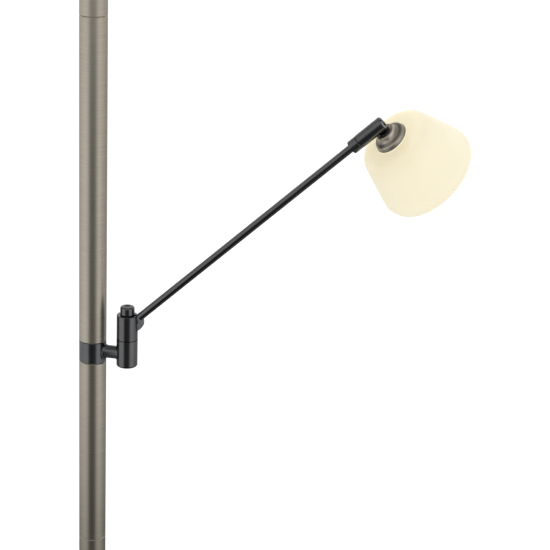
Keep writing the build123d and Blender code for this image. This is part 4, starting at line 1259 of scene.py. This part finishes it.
@dataclass
class ReadingHead:
    """The reading light: the barrel on the arm, the stem, the cap, the lamp and the shade."""

    arm: Arm
    spin: float = 30.0
    tilt: float = 92.4
    barrel_edge: float = 0.2
    screw_edge: float = 0.08
    stem_edge: float = 0.2
    hole: float = 5.05
    cap_start: float = 9.3
    neck_radius: float = 10.0
    neck_bevel: float = 0.7
    neck_end: float = 10.9
    flare_hollow: float = 0.35
    waist_radius: float = 12.6
    waist: float = 15.0
    step: float = 0.6
    shoulder_radius: float = 17.0
    shoulder: float = 17.2
    shoulder_round: float = 1.6
    cap_radius: float = 18.8
    cap_end: float = 21.15
    recess_radius: float = 14.6
    recess_floor: float = 18.95
    cavity_radius: float = 8.8
    roof: float = 12.5
    gasket_radius: float = 19.55
    gasket_width: float = 4.0
    gasket_thickness: float = 0.9
    gasket_round: float = 0.3
    holder_start: float = 16.6
    holder_entry: float = 3.2
    holder_neck: float = 8.4
    holder_flange_start: float = 19.0
    holder_flange_end: float = 21.0
    holder_flange: float = 13.0
    holder_radius: float = 10.5
    holder_end: float = 39.6
    groove_start: float = 6.0
    groove_end: float = 3.2
    groove_depth: float = 0.8
    socket_radius: float = 5.2
    socket_depth: float = 13.0
    socket_gap: float = 1.0
    capsule_radius: float = 8.0
    capsule_start: float = 40.1
    capsule_collar: float = 6.0
    capsule_step: float = 0.5
    capsule_length: float = 38.0
    capsule_round: float = 6.0
    shade_hole: float = 11.2
    shade_wall: float = 2.6
    shade_shoulder_radius: float = 38.55
    shade_shoulder_round: float = 11.5
    flare_radius: float = 55.65
    flare_length: float = 60.2
    bow: float = 0.5
    rim_round: float = 8.5
    mouth_radius: float = 53.3
    shade_length: float = 67.9
    shade_gap: float = 2.0
    ring_radius: float = 17.0
    ring_thickness: float = 3.0
    ring_bevel: tuple[float, float] = (2.6, 1.0)

    def axle(self) -> Axle:
        """Returns the frame along the shade, from the head's pivot.

        The head leans in the direction square to the rod that points down and out, spun round the
        rod. The shade's direction is the rod's, tilted towards that one.
        """
        arm, spin, tilt = self.arm, math.radians(self.spin), math.radians(self.tilt)
        point = np.array(arm.pivot) + arm.direction() * arm.length
        lean = arm.hanging() * math.cos(spin) + np.array([0.0, math.sin(spin), 0.0])
        along = arm.direction() * math.cos(tilt) + lean * math.sin(tilt)
        return Axle(tuple(point), tuple(np.cross(arm.direction(), lean)), tuple(along))

    def cap(self) -> bpy.types.Object:
        """Returns the turned cap: a ringed neck, a cone, a fine step and a flared flange."""
        neck = Corner(self.neck_radius, self.neck_end, 0.3)
        waist = Corner(self.waist_radius, self.waist, 0.15)
        corners = [
            Corner(self.hole, self.cap_start, 0.15),
            Corner(self.neck_radius - self.neck_bevel, self.cap_start, 0.2),
            Corner(self.neck_radius, self.cap_start + self.neck_bevel, 0.2),
            neck,
            *bowed(neck, waist, -self.flare_hollow),
            waist,
            Corner(self.waist_radius + self.step, self.waist, 0.2),
            Corner(self.shoulder_radius, self.shoulder, self.shoulder_round),
            Corner(self.cap_radius, self.cap_end, 0.25),
            Corner(self.recess_radius, self.cap_end, 0.2),
            Corner(self.recess_radius, self.recess_floor, 0.2),
            Corner(self.cavity_radius, self.recess_floor, 0.2),
            Corner(self.cavity_radius, self.roof, 0.2),
            Corner(self.hole, self.roof, 0.15),
        ]
        return turned("shade_cap_turned", trace(corners, steps=8), self.axle(), turns=128)

    def gasket(self) -> bpy.types.Object:
        """Returns the silicone ring between the cap and the glass, with a rounded outer edge."""
        outer, low = self.gasket_radius, self.cap_end
        high = low + self.gasket_thickness
        corners = ring(outer - self.gasket_width, outer, low, high, self.gasket_round)
        return turned("shade_gasket_ring", trace(corners), self.axle(), turns=128)

    def outside(self) -> list[Corner]:
        """Returns the shade's outer corners from its hole to its mouth, in the cap's frame."""
        low = self.cap_end + self.gasket_thickness
        return [
            Corner(self.shade_hole, low),
            Corner(self.shade_shoulder_radius, low, self.shade_shoulder_round),
            Corner(self.flare_radius, self.cap_end + self.flare_length, self.rim_round),
            Corner(self.mouth_radius, self.cap_end + self.shade_length),
        ]

    def shade(self) -> bpy.types.Object:
        """Returns the glass shade.

        Its outer line is the rounded run of corners, its flared side bowed outwards by a parabola
        that is nothing at the shoulder and at the flare and the full bow half way.
        """
        line = trace(self.outside(), closed=False, steps=16)
        points, normals = dense(line.points, line.normals, self.shade_gap)
        low = self.cap_end + self.gasket_thickness
        side = self.flare_length - self.gasket_thickness
        share = np.clip((points[:, 1] - low) / side, 0.0, 1.0)
        outer = points + normals * (4 * self.bow * share * (1 - share))[:, None]
        return shell_of_glass("reading_shade_blown", outer, self.shade_wall, self.axle())

    def make(self, book: FinishBook) -> None:
        """Builds and dresses the head.

        Args:
            book: the finishes.
        """
        barrel = smoothed_copy("head_barrel_turned", "head_barrel", self.barrel_edge)
        dress(barrel, book.black, Body.ARM_END, "black_satin", "head_barrel")
        screw = smoothed_copy("head_pivot_screw_head", "head_pivot_screw", self.screw_edge)
        dress(screw, book.steel, Body.ARM_END, "zinc_steel", "head_pivot_screw")
        coat_node("head_spindle", book.steel)
        coat_node("head_spin_washer", book.nylon)
        coat_node("head_friction_washers", book.nylon)
        stem = smoothed_copy("head_stem_turned", "head_stem", self.stem_edge)
        dress(stem, book.black, Body.HEAD, "black_satin", "head_stem")
        coat_node("stem_nut", book.steel)
        dress(self.cap(), book.cap, Body.HEAD, "polished_bronze", "shade_cap")
        dress(self.gasket(), book.gasket, Body.HEAD, "cream_silicone", "shade_gasket")
        dress(self.shade(), book.shade_glass, Body.HEAD, "opal_glass", "reading_shade")
        dress(self.lampholder(), book.ceramic, Body.HEAD, "white_ceramic", "reading_lampholder")
        dress(self.bulb(), book.bulb, Body.HEAD, "lamp_glass", "reading_bulb")
        dress(self.clamp_ring(), book.holder, Body.HEAD, "white_plastic", "shade_ring")

    def lampholder(self) -> bpy.types.Object:
        """Returns the ceramic lampholder: a neck, a flange and a body with a groove."""
        start, end, r = self.holder_start, self.holder_end, self.holder_radius
        d = self.groove_depth
        low, high = end - self.groove_start, end - self.groove_end
        corners = [
            Corner(0.0, start + self.holder_entry),
            Corner(self.hole, start + self.holder_entry, 0.1),
            Corner(self.hole, start, 0.2),
            Corner(self.holder_neck, start, 0.4),
            Corner(self.holder_neck, self.holder_flange_start, 0.2),
            Corner(self.holder_flange, self.holder_flange_start, 0.4),
            Corner(self.holder_flange, self.holder_flange_end, 0.4),
            Corner(r, self.holder_flange_end, 0.2),
            Corner(r, low, 0.3),
            Corner(r - d, low + d, 0.3),
            Corner(r - d, high - d, 0.3),
            Corner(r, high, 0.3),
            Corner(r, end, 1.0),
            Corner(self.socket_radius, end, 0.5),
            Corner(self.socket_radius, end - self.socket_depth, 0.3),
            Corner(0.0, end - self.socket_depth),
        ]
        profile = trace(corners, closed=False)
        return turned("reading_lampholder_fired", profile, self.axle(), turns=72)

    def bulb(self) -> bpy.types.Object:
        """Returns the capsule lamp: a plug, a collar and a long frosted dome."""
        base = self.holder_end - self.socket_depth + self.socket_gap
        plug = self.socket_radius - CLOSE_FIT
        start, step = self.capsule_start, self.capsule_step
        wide, slim = self.capsule_radius, self.capsule_radius - step
        top = start + self.capsule_length
        corners = [
            Corner(0.0, base),
            Corner(plug, base, 0.4),
            Corner(plug, start, 0.3),
            Corner(wide, start, 0.8),
            Corner(wide, start + self.capsule_collar, 0.3),
            Corner(slim, start + self.capsule_collar + step, 0.3),
            Corner(slim, top, self.capsule_round),
            Corner(0.0, top),
        ]
        profile = trace(corners, closed=False, steps=12)
        return turned("reading_bulb_capsule", profile, self.axle(), turns=64)

    def clamp_ring(self) -> bpy.types.Object:
        """Returns the ring that clamps the glass, with a bevelled face."""
        bore = self.holder_radius + CLOSE_FIT
        low = self.cap_end + self.gasket_thickness + self.shade_wall + CLOSE_FIT
        high = low + self.ring_thickness
        across, along = self.ring_bevel
        corners = [
            Corner(bore, low, 0.2),
            Corner(self.ring_radius, low, 0.3),
            Corner(self.ring_radius, high - along, 0.5),
            Corner(self.ring_radius - across, high, 0.5),
            Corner(bore, high, 0.4),
        ]
        return turned("shade_clamp_ring", trace(corners), self.axle())


def dense(points: np.ndarray, normals: np.ndarray, gap: float) -> tuple[np.ndarray, np.ndarray]:
    """Adds points along a line wherever two neighbours are further apart than a gap.

    Each new point and its normal lie evenly between the two neighbours.

    Args:
        points: the line's points.
        normals: a normal for each.
        gap: the gap.

    Returns:
        The points and the normals.
    """
    length = np.linalg.norm(np.diff(points, axis=0), axis=1)
    parts = np.maximum(np.ceil(length / gap).astype(int), 1)
    index = np.repeat(np.arange(len(parts)), parts)
    offset = np.arange(len(index)) - np.repeat(np.cumsum(parts) - parts, parts)
    share = (offset / parts[index])[:, None]
    out = points[index] * (1 - share) + points[index + 1] * share
    nrm = normals[index] * (1 - share) + normals[index + 1] * share
    return np.concatenate([out, points[-1:]]), unit_rows(np.concatenate([nrm, normals[-1:]]))


def shell_of_glass(name: str, outer: np.ndarray, wall: float, axle: Axle) -> bpy.types.Object:
    """Returns a turned glass shell, its two edges half round.

    The inner line is the outer one moved in along its normals by the wall. Each edge is a half
    circle that ends at the wall's end: cos and sin of an angle from the outer normal to its
    opposite, times half the wall.

    Args:
        name: the object's name.
        outer: the outer line's points, from the hole to the mouth.
        wall: the wall's thickness.
        axle: the frame that it is turned in.

    Returns:
        The glass.
    """
    outward = right_of(outer)
    inner = outer - outward * wall
    turn = np.linspace(0.0, math.pi, 9)[1:-1]

    def edge(at: int, sign: float) -> tuple[np.ndarray, np.ndarray]:
        """Returns the half circle at one end of the lines, and its normals."""
        n = outward[at] * sign
        forward = np.array([-n[1], n[0]])
        way = np.cos(turn)[:, None] * n + np.sin(turn)[:, None] * forward
        centre = (outer[at] + inner[at]) / 2 - forward * wall / 2
        return centre + way * wall / 2, way

    mouth, mouth_way = edge(-1, 1.0)
    hole, hole_way = edge(0, -1.0)
    keep = slice(1, -1)
    points = np.concatenate([outer[keep], mouth, inner[keep][::-1], hole])
    normals = np.concatenate([outward[keep], mouth_way, -outward[keep][::-1], hole_way])
    return turned(name, Profile(points, unit_rows(normals), True), axle, turns=160)


@dataclass
class Uplighter:
    """The uplighter on the pole's top: the cup, the lamp, the glass bowl and what clamps it."""

    base: float = 1668.0
    hole: float = 5.05
    foot_gap: float = 0.05
    neck_radius: float = 18.5
    neck_bevel: float = 0.8
    neck_end: float = 9.0
    waist_radius: float = 25.0
    waist: float = 24.0
    step: float = 0.8
    shoulder_radius: float = 45.5
    shoulder: float = 32.0
    shoulder_round: float = 2.0
    radius: float = 47.5
    height: float = 42.0
    floor: float = 4.0
    cavity_radius: float = 10.0
    well_radius: float = 20.5
    well_floor: float = 26.0
    recess_radius: float = 40.0
    recess_floor: float = 35.0
    holder_radius: float = 19.5
    holder_low: float = 27.0
    holder_high: float = 71.0
    holder_flange: float = 24.0
    flange_low: float = 35.05
    flange_high: float = 37.05
    entry: float = 5.0
    ribs_start: float = 12.0
    ribs_end: float = 3.0
    rib_pitch: float = 2.4
    rib_groove: tuple[tuple[float, float, float], ...] = (
        (0.0, 0.0, 0.25),
        (0.5, 0.7, 0.2),
        (1.1, 0.7, 0.2),
        (1.6, 0.0, 0.25),
    )
    thread_radius: float = 13.1
    thread_depth: float = 23.0
    thread_gap: float = 1.0
    plug_gap: float = 0.1
    plug_bevel: float = 0.5
    globe_radius: float = 27.0
    globe_neck: float = 13.5
    globe_start: float = 72.0
    globe_height: float = 59.0
    gasket_lip: float = 1.5
    gasket_width: float = 8.0
    gasket_thickness: float = 1.2
    gasket_round: float = 0.35
    bowl_bottom: float = 43.2
    bowl_hole: float = 21.6
    bowl_wall: float = 3.6
    flat_radius: float = 52.0
    flat_round: float = 14.0
    bowl_radius: float = 168.0
    bowl_height: float = 98.0
    swell: float = 17.0
    ring_radius: float = 29.0
    ring_thickness: float = 5.0
    ring_bevel: tuple[float, float] = (4.0, 1.6)

    def axle(self) -> Axle:
        """Returns the frame on the pole's top."""
        return POLE_AXLE.shifted(self.base)

    def cup(self) -> bpy.types.Object:
        """Returns the cup, which has the reading light's cap's lines at a larger size."""
        corners = [
            Corner(self.hole, self.foot_gap, 0.2),
            Corner(self.neck_radius, self.foot_gap, self.neck_bevel),
            Corner(self.neck_radius, self.neck_end, 0.8),
            Corner(self.waist_radius, self.waist, 0.4),
            Corner(self.waist_radius + self.step, self.waist, 0.3),
            Corner(self.shoulder_radius, self.shoulder, self.shoulder_round),
            Corner(self.radius, self.height, 0.4),
            Corner(self.recess_radius, self.height, 0.3),
            Corner(self.recess_radius, self.recess_floor, 0.3),
            Corner(self.well_radius, self.recess_floor, 0.3),
            Corner(self.well_radius, self.well_floor, 0.3),
            Corner(self.cavity_radius, self.well_floor, 0.3),
            Corner(self.cavity_radius, self.floor, 0.3),
            Corner(self.hole, self.floor, 0.2),
        ]
        return turned("uplight_cup_turned", trace(corners, steps=8), self.axle(), turns=128)

    def gasket(self) -> bpy.types.Object:
        """Returns the silicone ring under the bowl."""
        outer = self.radius + self.gasket_lip
        low, high = self.height, self.height + self.gasket_thickness
        corners = ring(outer - self.gasket_width, outer, low, high, self.gasket_round)
        return turned("bowl_gasket_ring", trace(corners), self.axle(), turns=128)

    def bowl(self) -> bpy.types.Object:
        """Returns the glass bowl.

        The flat bottom is a straight run; the side is the arc through its corner and its rim whose
        middle stands off the straight line by the swell. The radius of that arc is half the chord
        squared plus the swell squared, over twice the swell.
        """
        a = np.array([self.flat_radius, self.bowl_bottom])
        b = np.array([self.bowl_radius, self.bowl_bottom + self.bowl_height])
        chord = b - a
        half = np.linalg.norm(chord) / 2
        radius = (half**2 + self.swell**2) / (2 * self.swell)
        along = chord / (2 * half)
        out = np.array([along[1], -along[0]])
        centre = (a + b) / 2 - out * (radius - self.swell)
        reach = math.asin(half / radius)
        angle = np.linspace(-reach, reach, 60)[:, None]
        side = centre + radius * (np.cos(angle) * out + np.sin(angle) * along)
        outer = round_join(np.array([self.bowl_hole, self.bowl_bottom]), side, self.flat_round)
        return shell_of_glass("uplight_bowl_blown", outer, self.bowl_wall, self.axle())

    def lampholder(self) -> bpy.types.Object:
        """Returns the lampholder: a ribbed barrel on a flange, with the lamp's thread inside."""
        r, low, high = self.holder_radius, self.holder_low, self.holder_high
        corners = [
            Corner(0.0, low + self.entry),
            Corner(self.hole, low + self.entry, 0.2),
            Corner(self.hole, low, 0.3),
            Corner(r, low, 0.8),
            Corner(r, self.flange_low, 0.3),
            Corner(self.holder_flange, self.flange_low, 0.4),
            Corner(self.holder_flange, self.flange_high, 0.4),
            Corner(r, self.flange_high, 0.3),
        ]
        first, last = self.bowl_bottom + self.ribs_start, high - self.ribs_end
        for height in np.arange(first, last, self.rib_pitch):
            corners += [
                Corner(r - inward, height + upward, rounding)
                for upward, inward, rounding in self.rib_groove
            ]
        corners += [
            Corner(r, high, 1.2),
            Corner(self.thread_radius, high, 0.6),
            Corner(self.thread_radius, high - self.thread_depth, 0.4),
            Corner(0.0, high - self.thread_depth),
        ]
        return turned("uplight_lampholder_moulded", trace(corners, False, 4), self.axle())

    def bulb(self) -> bpy.types.Object:
        """Returns the lamp: a base, a flared neck and a frosted globe.

        The globe's upper half is a quarter circle. Below it the lamp widens from the neck along a
        cosine up to half way, and from there along a straight line.
        """
        base = self.holder_high - self.thread_depth + self.thread_gap
        start, radius = self.globe_start, self.globe_radius
        middle = start + self.globe_height - radius
        share = np.linspace(0.0, 1.0, 28)
        ease = np.minimum(0.5 - 0.5 * np.cos(math.pi * share), share)
        swell = self.globe_neck + (radius - self.globe_neck) * ease
        flare = np.stack([swell, start + (middle - start) * share], -1)
        angle = np.linspace(0.0, math.pi / 2, 24)[1:]
        dome = np.stack([radius * np.cos(angle), middle + radius * np.sin(angle)], -1)
        dome[-1, 0] = 0.0
        plug, b = self.thread_radius - self.plug_gap, self.plug_bevel
        stem = np.array([[0.0, base], [plug - b, base], [plug, base + b], [plug, start - b]])
        line = np.concatenate([stem, flare, dome])
        return turned("uplight_bulb_globe", smooth_run(line), self.axle())

    def clamp_ring(self) -> bpy.types.Object:
        """Returns the ring that clamps the bowl, with a bevelled face."""
        bore = self.holder_radius + CLOSE_FIT
        low = self.bowl_bottom + self.bowl_wall + CLOSE_FIT
        high = low + self.ring_thickness
        across, along = self.ring_bevel
        corners = [
            Corner(bore, low, 0.2),
            Corner(self.ring_radius, low, 0.4),
            Corner(self.ring_radius, high - along, 0.8),
            Corner(self.ring_radius - across, high, 0.8),
            Corner(bore, high, 0.5),
        ]
        return turned("bowl_clamp_ring", trace(corners), self.axle())

    def make(self, book: FinishBook) -> None:
        """Builds and dresses the uplighter.

        Args:
            book: the finishes.
        """
        dress(self.cup(), book.turned, Body.STAND, "polished_bronze", "uplight_cup")
        dress(self.gasket(), book.gasket, Body.STAND, "cream_silicone", "bowl_gasket")
        dress(self.bowl(), book.bowl_glass, Body.STAND, "opal_glass", "uplight_bowl")
        dress(self.lampholder(), book.holder, Body.STAND, "white_plastic", "uplight_lampholder")
        dress(self.bulb(), book.bulb, Body.STAND, "lamp_glass", "uplight_bulb")
        dress(self.clamp_ring(), book.holder, Body.STAND, "white_plastic", "bowl_ring")
        coat_node("uplight_tie", book.steel)
        coat_node("uplight_nut", book.steel)


def round_join(start: np.ndarray, side: np.ndarray, radius: float) -> np.ndarray:
    """Joins a level straight line to a rising curve with an arc that touches both.

    The arc's centre stands one radius above the line. It is slid along until its distance from the
    curve is one radius too, on the curve's inner side.

    Args:
        start: where the straight line starts, at the curve's lowest height.
        side: the curve's points, upwards and outwards.
        radius: the arc's radius.

    Returns:
        The joined line's points.
    """
    samples, places, steps, next_gap = 1600, 900, 16, 1.0
    share = np.linspace(0, len(side) - 1, samples)
    fine = np.stack([np.interp(share, np.arange(len(side)), side[:, k]) for k in (0, 1)], -1)
    height = start[1] + radius
    tries = np.linspace(side[0, 0] - 3 * radius, side[0, 0] + radius, places)
    gaps = np.hypot(tries[:, None] - fine[None, :, 0], height - fine[None, :, 1]).min(1)
    centre = np.array([tries[np.argmin(np.abs(gaps - radius))], height])
    touch = fine[np.argmin(np.hypot(*(fine - centre).T))] - centre
    angle = np.linspace(-math.pi / 2, math.atan2(touch[1], touch[0]), steps)
    arc = centre + radius * np.stack([np.cos(angle), np.sin(angle)], -1)
    flat = np.linspace(start, arc[0], steps)[:-1]
    rest = side[side[:, 1] > arc[-1, 1] + next_gap]
    return np.concatenate([flat, arc, rest])


# ---------------------------------------------------------------------------------------------
# Studio
# ---------------------------------------------------------------------------------------------


@dataclass(frozen=True)
class StudioLight:
    """One soft square light that metal doesn't mirror.

    Attributes:
        name: its name.
        place: where it hangs, in metres.
        aim: the point that it faces, in metres.
        side: the length of its side, in metres.
        watts: its power.
    """

    name: str
    place: tuple[float, float, float]
    aim: tuple[float, float, float]
    side: float
    watts: float

    def hang(self) -> None:
        """Adds the light to the scene."""
        data = bpy.data.lights.new(self.name, "AREA")
        data.shape = "SQUARE"
        data.size = self.side
        data.energy = self.watts
        light = bpy.data.objects.new(self.name, data)
        spot = Vector(self.place)
        turn = (Vector(self.aim) - spot).to_track_quat("-Z", "Y")
        light.matrix_world = Matrix.Translation(spot) @ turn.to_matrix().to_4x4()
        light.visible_glossy = False
        bpy.context.scene.collection.objects.link(light)


def seen_directly(tree: bpy.types.NodeTree) -> bpy.types.NodeSocket:
    """Returns 1 on rays from the camera, off gloss or through glass, and 0 on the others.

    Args:
        tree: the material's or the world's nodes.

    Returns:
        The number.
    """
    path = tree.nodes.new("ShaderNodeLightPath")
    total = path.outputs["Is Camera Ray"]
    for kind in ("Is Glossy Ray", "Is Transmission Ray"):
        either = tree.nodes.new("ShaderNodeMath")
        either.operation = "MAXIMUM"
        tree.links.new(total, either.inputs[0])
        tree.links.new(path.outputs[kind], either.inputs[1])
        total = either.outputs["Value"]
    return total


@dataclass
class Studio:
    """The floor, the lights, what the metal mirrors, and the camera."""

    focal_px: float = 1800.0
    picture_px: float = 550.0
    sensor_mm: float = 36.0
    sight: float = 200.0
    eye: tuple[float, float, float] = (0.576195, -1.774563, 1.916894)
    forward: tuple[float, float, float] = (-0.19542534, 0.92769802, -0.3180964)
    up: tuple[float, float, float] = (-0.10098939, 0.30359013, 0.94743558)
    floor_size: float = 40.0
    floor_white: float = 0.8
    floor_top_up: float = 0.42
    tent_foot: float = 0.005
    tent_radius: float = 1.25
    tent_height: float = 2.6
    tent_sides: int = 96
    low_dim: Stops = ((0.0, 0.32), (0.34, 0.22), (0.52, 1.0), (2.6, 1.0))
    upper_share: Stops = ((0.0, 0.0), (1.25, 0.0), (1.6, 1.0), (2.6, 1.0))
    upper_light: Stops = ((0.0, 0.8), (2.2, 0.8), (2.55, 0.35), (2.6, 0.35))
    sky: float = 0.85
    lights: tuple[StudioLight, ...] = (
        StudioLight("key", (-2.0, 1.2, 3.0), (0.2, 0.0, 1.3), 1.0, 31.0),
        StudioLight("side", (2.6, -1.2, 2.4), (0.15, 0.0, 1.3), 1.2, 3.0),
    )

    def camera(self) -> None:
        """Places the camera: its right is forward crossed with up, its back is minus forward."""
        data = bpy.data.cameras.new("view")
        data.sensor_width = self.sensor_mm
        data.lens = self.sensor_mm * self.focal_px / self.picture_px
        data.clip_end = self.sight
        camera = bpy.data.objects.new("view", data)
        ahead = Vector(self.forward).normalized()
        right = ahead.cross(Vector(self.up)).normalized()
        over = right.cross(ahead)
        turn = Matrix((right, over, -ahead)).transposed()
        camera.matrix_world = Matrix.Translation(self.eye) @ turn.to_4x4()
        bpy.context.scene.collection.objects.link(camera)
        bpy.context.scene.camera = camera

    def world(self) -> None:
        """Makes the world white where it is seen and a soft fill where it lights."""
        world = bpy.data.worlds.new("studio")
        bpy.context.scene.world = world
        world.use_nodes = True
        tree = world.node_tree
        tree.nodes.clear()
        output = tree.nodes.new("ShaderNodeOutputWorld")
        seen = tree.nodes.new("ShaderNodeBackground")
        seen.inputs["Strength"].default_value = 1.0
        fill = tree.nodes.new("ShaderNodeBackground")
        fill.inputs["Strength"].default_value = self.sky
        mix = tree.nodes.new("ShaderNodeMixShader")
        tree.links.new(seen_directly(tree), mix.inputs["Fac"])
        tree.links.new(fill.outputs["Background"], mix.inputs[1])
        tree.links.new(seen.outputs["Background"], mix.inputs[2])
        tree.links.new(mix.outputs["Shader"], output.inputs["Surface"])
        for shader in (seen, fill):
            shader.inputs["Color"].default_value = WHITE

    def floor(self) -> None:
        """Makes the white floor: lit paint, which keeps its shadows, topped up where it is seen."""
        h = self.floor_size / 2 / MM
        corners = np.array([[-h, -h, 0.0], [h, -h, 0.0], [h, h, 0.0], [-h, h, 0.0]])
        floor = new_mesh_object("floor", corners, np.array([[0, 1, 2, 3]]))
        material, output = bare_material("floor_white")
        tree = material.node_tree
        paint = tree.nodes.new("ShaderNodeBsdfDiffuse")
        paint.inputs["Color"].default_value = (*(self.floor_white,) * 3, 1.0)
        glow = tree.nodes.new("ShaderNodeEmission")
        glow.inputs["Color"].default_value = WHITE
        strength = tree.nodes.new("ShaderNodeMath")
        strength.operation = "MULTIPLY"
        strength.inputs[1].default_value = self.floor_top_up
        tree.links.new(seen_directly(tree), strength.inputs[0])
        tree.links.new(strength.outputs["Value"], glow.inputs["Strength"])
        both = tree.nodes.new("ShaderNodeAddShader")
        tree.links.new(paint.outputs["BSDF"], both.inputs[0])
        tree.links.new(glow.outputs["Emission"], both.inputs[1])
        tree.links.new(both.outputs["Shader"], output)
        floor.data.materials.append(material)

    def drum(self) -> bpy.types.Object:
        """Returns the light tent's shape, a drum round the pole.

        A point is (r cos t, r sin t, z). The pairs of r and z run from the middle of the floor out
        to the wall, up it and back in along the top, and t runs round the pole.
        """
        angle = np.arange(self.tent_sides + 1) * (2 * math.pi / self.tent_sides)
        low, high, r = self.tent_foot / MM, self.tent_height / MM, self.tent_radius / MM
        lines = np.array([(1.0, low), (r, low), (r, high), (1.0, high)])
        circle = np.stack([np.cos(angle), np.sin(angle)], -1)
        wide = lines[:, None, :1] * circle[None]
        tall = np.broadcast_to(lines[:, None, 1:], wide[..., :1].shape)
        points = np.concatenate([wide, tall], -1).reshape(-1, 3)
        number = np.arange(len(points)).reshape(len(lines), -1)
        quads = np.stack([number[:-1, 1:], number[:-1, :-1], number[1:, :-1], number[1:, 1:]], -1)
        return new_mesh_object("light_tent", points, quads.reshape(-1, 4))

    def height_ramp(
        self, tree: bpy.types.NodeTree, height: bpy.types.NodeSocket, stops: Stops
    ) -> bpy.types.NodeSocket:
        """Returns a brightness that follows the height.

        Args:
            tree: the material's nodes.
            height: the height as a share of the tent's.
            stops: heights in metres and the brightness at each.

        Returns:
            The brightness.
        """
        return ramp_of(tree, height, [(z / self.tent_height, value) for z, value in stops])

    def panels(self) -> bpy.types.Material:
        """Returns the tent's light.

        Up to the reading light its brightness follows the angle round the pole, with a dark gap on
        the camera's side between bright panels, and it dims towards the floor. Above that it turns
        into a light that is even all round and fades near the top.
        """
        material, output = bare_material("tent_panels")
        tree = material.node_tree
        place = tree.nodes.new("ShaderNodeTexCoord").outputs["Object"]
        turn = tree.nodes.new("ShaderNodeMapping")
        heading = math.atan2(self.eye[1], self.eye[0])
        turn.inputs["Rotation"].default_value = (0.0, 0.0, -heading)
        radial = tree.nodes.new("ShaderNodeTexGradient")
        radial.gradient_type = "RADIAL"
        tree.links.new(place, turn.inputs["Vector"])
        tree.links.new(turn.outputs["Vector"], radial.inputs["Vector"])
        height = share_along(tree, place, "Z", self.tent_height)
        dim = self.height_ramp(tree, height, self.low_dim)
        lower = product(tree, ramp_of(tree, radial.outputs["Fac"], panel_stops()), dim)
        whole = tree.nodes.new("ShaderNodeMix")
        whole.data_type = "RGBA"
        tree.links.new(self.height_ramp(tree, height, self.upper_share), whole.inputs["Factor"])
        tree.links.new(lower, whole.inputs["A"])
        tree.links.new(self.height_ramp(tree, height, self.upper_light), whole.inputs["B"])
        glow = tree.nodes.new("ShaderNodeEmission")
        tree.links.new(whole.outputs["Result"], glow.inputs["Color"])
        tree.links.new(glow.outputs["Emission"], output)
        return material

    def tent(self) -> None:
        """Makes the light tent, which only reflections see."""
        tent = self.drum()
        tent.data.materials.append(self.panels())
        tent.visible_camera = False
        tent.visible_diffuse = False
        tent.visible_transmission = False
        tent.visible_volume_scatter = False
        tent.visible_shadow = False

    def make(self) -> None:
        """Builds the studio."""
        self.camera()
        self.world()
        self.floor()
        self.tent()
        for light in self.lights:
            light.hang()
        bpy.context.scene.view_settings.view_transform = "Standard"
        LOG.info("studio is set")


def panel_stops() -> list[tuple[float, float]]:
    """Returns the tent's brightness round the pole as ramp stops.

    A stop's place is the angle from the camera's heading over a full turn, plus a half, so the
    camera's side is the middle of the ramp.
    """
    panels = [
        (-180.0, 0.45),
        (-150.0, 0.52),
        (-136.0, 0.60),
        (-115.0, 0.74),
        (-100.0, 0.84),
        (-85.0, 0.97),
        (-70.0, 1.0),
        (-46.0, 1.0),
        (-38.0, 0.72),
        (-31.0, 0.2),
        (-24.0, 0.09),
        (0.0, 0.10),
        (15.0, 0.12),
        (23.0, 0.2),
        (32.0, 0.8),
        (40.0, 1.0),
        (62.0, 1.0),
        (72.0, 0.88),
        (84.0, 0.68),
        (100.0, 0.58),
        (115.0, 0.47),
        (128.0, 0.42),
        (150.0, 0.42),
        (180.0, 0.45),
    ]
    return [(0.5 + angle / 360.0, value) for angle, value in panels]


def main() -> None:
    """Builds the lamp and its studio."""
    logging.basicConfig(level=logging.INFO, format="%(name)s: %(message)s")
    book = FinishBook()
    arm = Arm()
    Studio().make()
    Foot().make(book)
    Pole().make(book)
    Bracket().make(book)
    arm.make(book)
    ReadingHead(arm).make(book)
    Uplighter().make(book)


if __name__ == "__main__":
    main()
